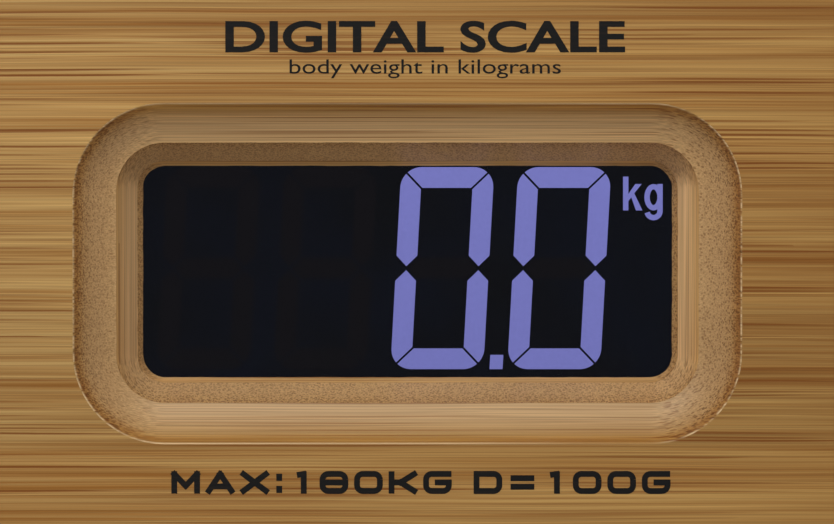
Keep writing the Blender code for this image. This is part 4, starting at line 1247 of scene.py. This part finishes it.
def makeFootCup(corner):
    values = footValues
    low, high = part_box("foot_cup_" + corner)
    padLow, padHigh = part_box("foot_pad_" + corner)
    middle = centreOf("foot_cup_" + corner)
    radius = (high.x - low.x) / 2
    padRadius = (padHigh.x - padLow.x) / 2
    top, rim = high.z, low.z
    base = rim + values["cupBase"]
    profile = [
        (0, top), (values["boss"], top), (values["boss"], base), (padRadius - values["wall"], base),
        (padRadius - values["wall"], rim + values["hookTop"]),
        (padRadius + values["hookReach"], rim + values["hookTop"]),
        (padRadius + values["hookReach"], rim + values["hookBottom"]),
        (padRadius, rim + values["hookBottom"]), (padRadius, base), (radius, base), (radius, rim),
        (padRadius + values["padClearance"], rim),
        (padRadius + values["padClearance"], rim + values["padRecess"]), (0, rim + values["padRecess"]),
    ]
    bm = latheMesh(roundedProfile(profile, values["fillet"], False), middle)
    piece = makePiece("footCup" + plainName(corner), bm, blackPlastic, "foot_" + corner)
    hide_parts("foot_cup_" + corner)


def makeFootPad(corner):
    # a rubber disc with round grooves in its sole
    values = footValues
    low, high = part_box("foot_pad_" + corner)
    radius = (high.x - low.x) / 2
    profile = [(0, high.z), (radius, high.z), (radius, low.z)]
    edge = radius - values["soleMargin"]
    while edge > values["treadPitch"]:
        inner = edge - values["treadGroove"]
        profile += [(edge, low.z), (edge - 0.1 * mm, low.z + values["treadDepth"]),
                    (inner + 0.1 * mm, low.z + values["treadDepth"]), (inner, low.z)]
        edge -= values["treadPitch"]
    profile.append((0, low.z))
    bm = latheMesh(roundedProfile(profile, values["lathedEdge"], False, 2), centreOf("foot_pad_" + corner))
    piece = makePiece("footPad" + plainName(corner), bm, soleRubber, "foot_" + corner)
    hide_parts("foot_pad_" + corner)


mountValues = {
    "fillet": 0.4 * mm,
    "flangeWidth": 8 * mm,
    "flangeThickness": 1.2 * mm,
    "flangeDrop": 5.1 * mm,   # from the mount's top down to its flange's top
    "clearance": 0.3 * mm,
    "wall": 2.4 * mm,
    "skirt": 1.0 * mm,
    "lipHeight": 1.2 * mm,
    "relief": 9 * mm,
    "roof": 1.2 * mm,
    "slot": 5 * mm,           # width of the wires' way out
    "slotRise": 1.3 * mm,     # above the flange
    "lipFromHook": 17.6 * mm,
    "screwHole": 1.6 * mm,
    "ribs": 12,
    "ribThickness": 1.2 * mm,
    "ribDrop": 0.9 * mm,
    "ribMargin": 0.8 * mm,
    "ribSink": 0.1 * mm,      # how far it runs into the flange and the skirt
}


def makeMount(corner):
    values = mountValues
    node = "foot_mount_" + corner
    low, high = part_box(node)
    middle = centreOf(node)
    flange = (high.x - low.x) / 2
    pocket = flange - values["flangeWidth"] - values["clearance"]
    cavity = pocket - values["wall"]
    lip = footValues["hookReach"] + values["lipFromHook"]
    flangeTop = high.z - values["flangeDrop"]
    flangeLow = flangeTop - values["flangeThickness"]
    skirt = pocket + values["skirt"]
    profile = [
        (values["relief"], high.z), (pocket, high.z), (pocket, flangeTop), (flange, flangeTop),
        (flange, flangeLow), (skirt, flangeLow), (skirt, low.z), (lip, low.z),
        (lip, low.z + values["lipHeight"]),
        (cavity, low.z + values["lipHeight"]), (cavity, high.z - values["roof"]),
        (values["relief"], high.z - values["roof"]),
    ]
    bm = latheMesh(roundedProfile(profile, values["fillet"], True), middle, closed=True)
    toTray = 0.0 if "left" in corner else math.pi
    wayOut = toTray if "far" in corner else math.pi / 2
    half = values["slot"] / 2
    cutters = [boxCutter("slot", (cavity - 2 * mm, -half, flangeTop + values["slotRise"]),
                         (pocket + 2 * mm, half, high.z - values["roof"] - 0.3 * mm), wayOut, middle)]
    for index in (1, 2):
        spot = centreOf(f"foot_screw_{corner}_{index}")
        cutters.append(roundCutter("hole", spot, values["screwHole"], flangeLow - mm, flangeTop + mm))
    piece = makePiece("footMount" + plainName(corner), cutBy(bm, cutters), blackPlastic)
    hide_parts(node)


for corner in corners:
    makeFootCup(corner)
    makeFootPad(corner)
    makeMount(corner)
print("feet made")


def runNodes(name, tree, inputs, material, body, smoothAngle=32):
    # runs a tree on an empty mesh and keeps the plain result
    holder = bpy.data.objects.new(name + "Holder", bpy.data.meshes.new(name + "Holder"))
    scene.collection.objects.link(holder)
    modifier = holder.modifiers.new("nodes", "NODES")
    modifier.node_group = tree
    identifiers = {item.name: item.identifier for item in tree.interface.items_tree if item.in_out == "INPUT"}
    for label, value in inputs.items():
        modifier[identifiers[label]] = value
    mesh = applied(holder)
    bpy.data.objects.remove(holder)
    bm = bmesh.new()
    bm.from_mesh(mesh)
    return makePiece(name, bm, material, body, smoothAngle)


def startTree(name, sockets):
    tree = bpy.data.node_groups.new(name, "GeometryNodeTree")
    for label, kind, value in sockets:
        socket = tree.interface.new_socket(label, in_out="INPUT", socket_type=kind)
        if value is not None:
            socket.default_value = value
    tree.interface.new_socket("Geometry", in_out="OUTPUT", socket_type="NodeSocketGeometry")
    source = tree.nodes.new("NodeGroupInput")
    return tree, source.outputs


def endTree(tree, geometry, material):
    real = addNode(tree, "GeometryNodeRealizeInstances", {"Geometry": geometry})
    shaded = addNode(tree, "GeometryNodeSetMaterial", {"Geometry": real, "Material": material})
    tree.links.new(shaded, tree.nodes.new("NodeGroupOutput").inputs[0])


screwValues = {
    "shank": 1.3 * mm,
    "root": 0.78,             # of the shank's radius, at the bottom of the thread
    "pitch": 1.1 * mm,
    "headHeight": 1.6 * mm,
    "driveWidth": 0.75 * mm,
    "driveLength": 3.0 * mm,
    "driveDepth": 0.8 * mm,
    "seed": 4,
}


def makeScrewPattern(name, node):
    # a pan-head screw with a cross recess, at the origin, its head down
    low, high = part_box(node)
    headRadius = (high.x - low.x) / 2
    values = screwValues
    shank, pitch, headHeight = values["shank"], values["pitch"], values["headHeight"]
    root = shank * values["root"]
    length = high.z - low.z
    profile = [(0, length), (shank * 0.5, length - 0.25 * mm)]
    height = length - mm
    while height > headHeight + pitch:
        profile += [(shank, height), (root, height - pitch * 0.35), (root, height - pitch * 0.65)]
        height -= pitch
    profile += [(shank, height), (shank, headHeight), (headRadius, headHeight),
                (headRadius, headHeight * 0.62), (headRadius * 0.86, headHeight * 0.2),
                (headRadius * 0.5, 0.02 * mm), (0, 0)]
    bm = latheMesh(roundedProfile(profile, 0.15 * mm, False, 2), (0, 0), steps=28)
    half = Vector((values["driveLength"] / 2, values["driveWidth"] / 2, 0))
    cutters = [boxCutter("drive", (-half.x, -half.y, -mm), (half.x, half.y, values["driveDepth"]), turn)
               for turn in (0, math.pi / 2)]
    return makeCutter(name, cutBy(bm, cutters))


def buildScrewTree(name, spots):
    # sets a screw on each spot, each turned its own way
    tree, inputs = startTree(name, (
        ("Screw", "NodeSocketObject", None), ("Material", "NodeSocketMaterial", None),
        ("Seed", "NodeSocketInt", 1)))
    joined = tree.nodes.new("GeometryNodeJoinGeometry")
    for spot in spots:
        point = addNode(tree, "GeometryNodeMeshLine", {"Count": 1, "Start Location": spot})
        tree.links.new(point, joined.inputs[0])
    turn = addNode(tree, "FunctionNodeRandomValue", {2: 0.0, 3: 2 * math.pi, "Seed": inputs["Seed"]},
                   data_type="FLOAT")
    rotation = addNode(tree, "ShaderNodeCombineXYZ", {2: turn})
    pattern = addNode(tree, "GeometryNodeObjectInfo", {"Object": inputs["Screw"]}).node.outputs["Geometry"]
    placed = addNode(tree, "GeometryNodeInstanceOnPoints", {
        "Points": joined.outputs[0], "Instance": pattern, "Rotation": rotation})
    endTree(tree, placed, inputs["Material"])
    return tree


def makeScrews():
    groups = {
        "trayScrews": [f"tray_screw_{index}" for index in range(1, 5)],
        "footScrews": [f"foot_screw_{corner}_{index}" for corner in corners for index in (1, 2)],
    }
    for name, names in groups.items():
        pattern = makeScrewPattern(name + "Pattern", names[0])
        spots = [(*centreOf(node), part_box(node)[0].z) for node in names]
        tree = buildScrewTree(name + "Tree", spots)
        piece = runNodes(name, tree, {"Screw": pattern, "Material": zincSteel, "Seed": screwValues["seed"]},
                         zincSteel, "scale")
        bpy.data.objects.remove(pattern)
        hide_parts(*names)


def buildRibTree(name):
    # short ribs in a ring, standing out from the middle
    tree, inputs = startTree(name, (
        ("Count", "NodeSocketInt", 12), ("Radius", "NodeSocketFloat", 0.03),
        ("Middle", "NodeSocketVector", None), ("Rib Size", "NodeSocketVector", None),
        ("Material", "NodeSocketMaterial", None)))
    ring = addNode(tree, "GeometryNodeMeshCircle", {"Vertices": inputs["Count"], "Radius": inputs["Radius"]})
    index = addNode(tree, "GeometryNodeInputIndex")
    turn = addNode(tree, "ShaderNodeMath", {0: index, 1: 2 * math.pi}, operation="MULTIPLY")
    turn = addNode(tree, "ShaderNodeMath", {0: turn, 1: inputs["Count"]}, operation="DIVIDE")
    rotation = addNode(tree, "ShaderNodeCombineXYZ", {2: turn})
    rib = addNode(tree, "GeometryNodeMeshCube", {"Size": inputs["Rib Size"]})
    placed = addNode(tree, "GeometryNodeInstanceOnPoints", {
        "Points": ring, "Instance": rib, "Rotation": rotation})
    moved = addNode(tree, "GeometryNodeTransform", {"Geometry": placed, "Translation": inputs["Middle"]})
    endTree(tree, moved, inputs["Material"])
    return tree


def makeMountRibs():
    values = mountValues
    tree = buildRibTree("mountRibTree")
    for corner in corners:
        node = "foot_mount_" + corner
        low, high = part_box(node)
        flange = (high.x - low.x) / 2
        skirt = flange - values["flangeWidth"] - values["clearance"] + values["skirt"]
        flangeLow = high.z - values["flangeDrop"] - values["flangeThickness"]
        length = flange - skirt - values["ribMargin"]
        runNodes("mountRibs" + plainName(corner), tree, {
            "Count": values["ribs"], "Radius": skirt + length / 2 - values["ribSink"],
            "Middle": (*centreOf(node), flangeLow - values["ribDrop"] / 2 + values["ribSink"]),
            "Rib Size": (length, values["ribThickness"], values["ribDrop"] + 2 * values["ribSink"]),
            "Material": blackPlastic}, blackPlastic, "scale")


makeScrews()
makeMountRibs()
print("screws and ribs made")


easedValues = {
    "tray": 0.25 * mm,
    "door": 0.2 * mm,
    "wireCover": 0.2 * mm,
    "sharpest": 35,              # degrees, past which an edge is eased
    "weld": 0.002 * mm,
    "wideFlat": 100 * mm * mm,   # a face this large is shaded flat
}


def softened(node, name, width, body, material):
    # a merged copy with its edges eased
    source = bmesh.new()
    source.from_mesh(nodes[node].data)
    bmesh.ops.remove_doubles(source, verts=source.verts, dist=easedValues["weld"])
    bmesh.ops.dissolve_limit(source, angle_limit=math.radians(1), verts=source.verts, edges=source.edges)
    copy = makeCutter(name + "Copy", source)
    bevel = copy.modifiers.new("ease", "BEVEL")
    bevel.width = width
    bevel.segments = 2
    bevel.limit_method = "ANGLE"
    bevel.angle_limit = math.radians(easedValues["sharpest"])
    bevel.use_clamp_overlap = True
    mesh = applied(copy)
    bpy.data.objects.remove(copy)
    bm = bmesh.new()
    bm.from_mesh(mesh)
    piece = makePiece(name, bm, material, body)
    # the wide flats keep their own shading
    for face in piece.data.polygons:
        if face.area > easedValues["wideFlat"]:
            face.use_smooth = False
    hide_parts(node)
    return piece


buttonValues = {
    "flange": 1.6 * mm,        # how far it reaches past the finger side
    "flangeThickness": 0.8 * mm,
    "edge": 0.4 * mm,
    "rim": 1.0 * mm,           # level ring round the dish
    "dish": 0.35 * mm,
}


def makeButton():
    # its finger side is dished
    values = buttonValues
    low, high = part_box("unit_button")
    flange = (high.x - low.x) / 2
    radius = flange - values["flange"]
    dish = radius - values["rim"]
    flangeLow = high.z - values["flangeThickness"]
    profile = [(0, high.z), (flange, high.z), (flange, flangeLow), (radius, flangeLow), (radius, low.z)]
    profile = roundedProfile(profile + [(dish, low.z)], values["edge"], False)
    steps = 6
    for step in range(1, steps + 1):
        share = step / steps
        profile.append((dish * (1 - share), low.z + values["dish"] * math.sin(share * math.pi / 2)))
    bm = latheMesh(profile, centreOf("unit_button"), steps=64)
    piece = makePiece("unitButton", bm, greyPlastic, "button")
    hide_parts("unit_button")


softened("electronics_tray", "electronicsTray", easedValues["tray"], "scale", blackPlastic)
softened("battery_door", "batteryDoor", easedValues["door"], "door", blackPlastic)
for corner in corners:
    softened("wire_cover_" + corner, "wireCover" + plainName(corner), easedValues["wireCover"], "scale",
             blackPlastic)
makeButton()
print("underside made")
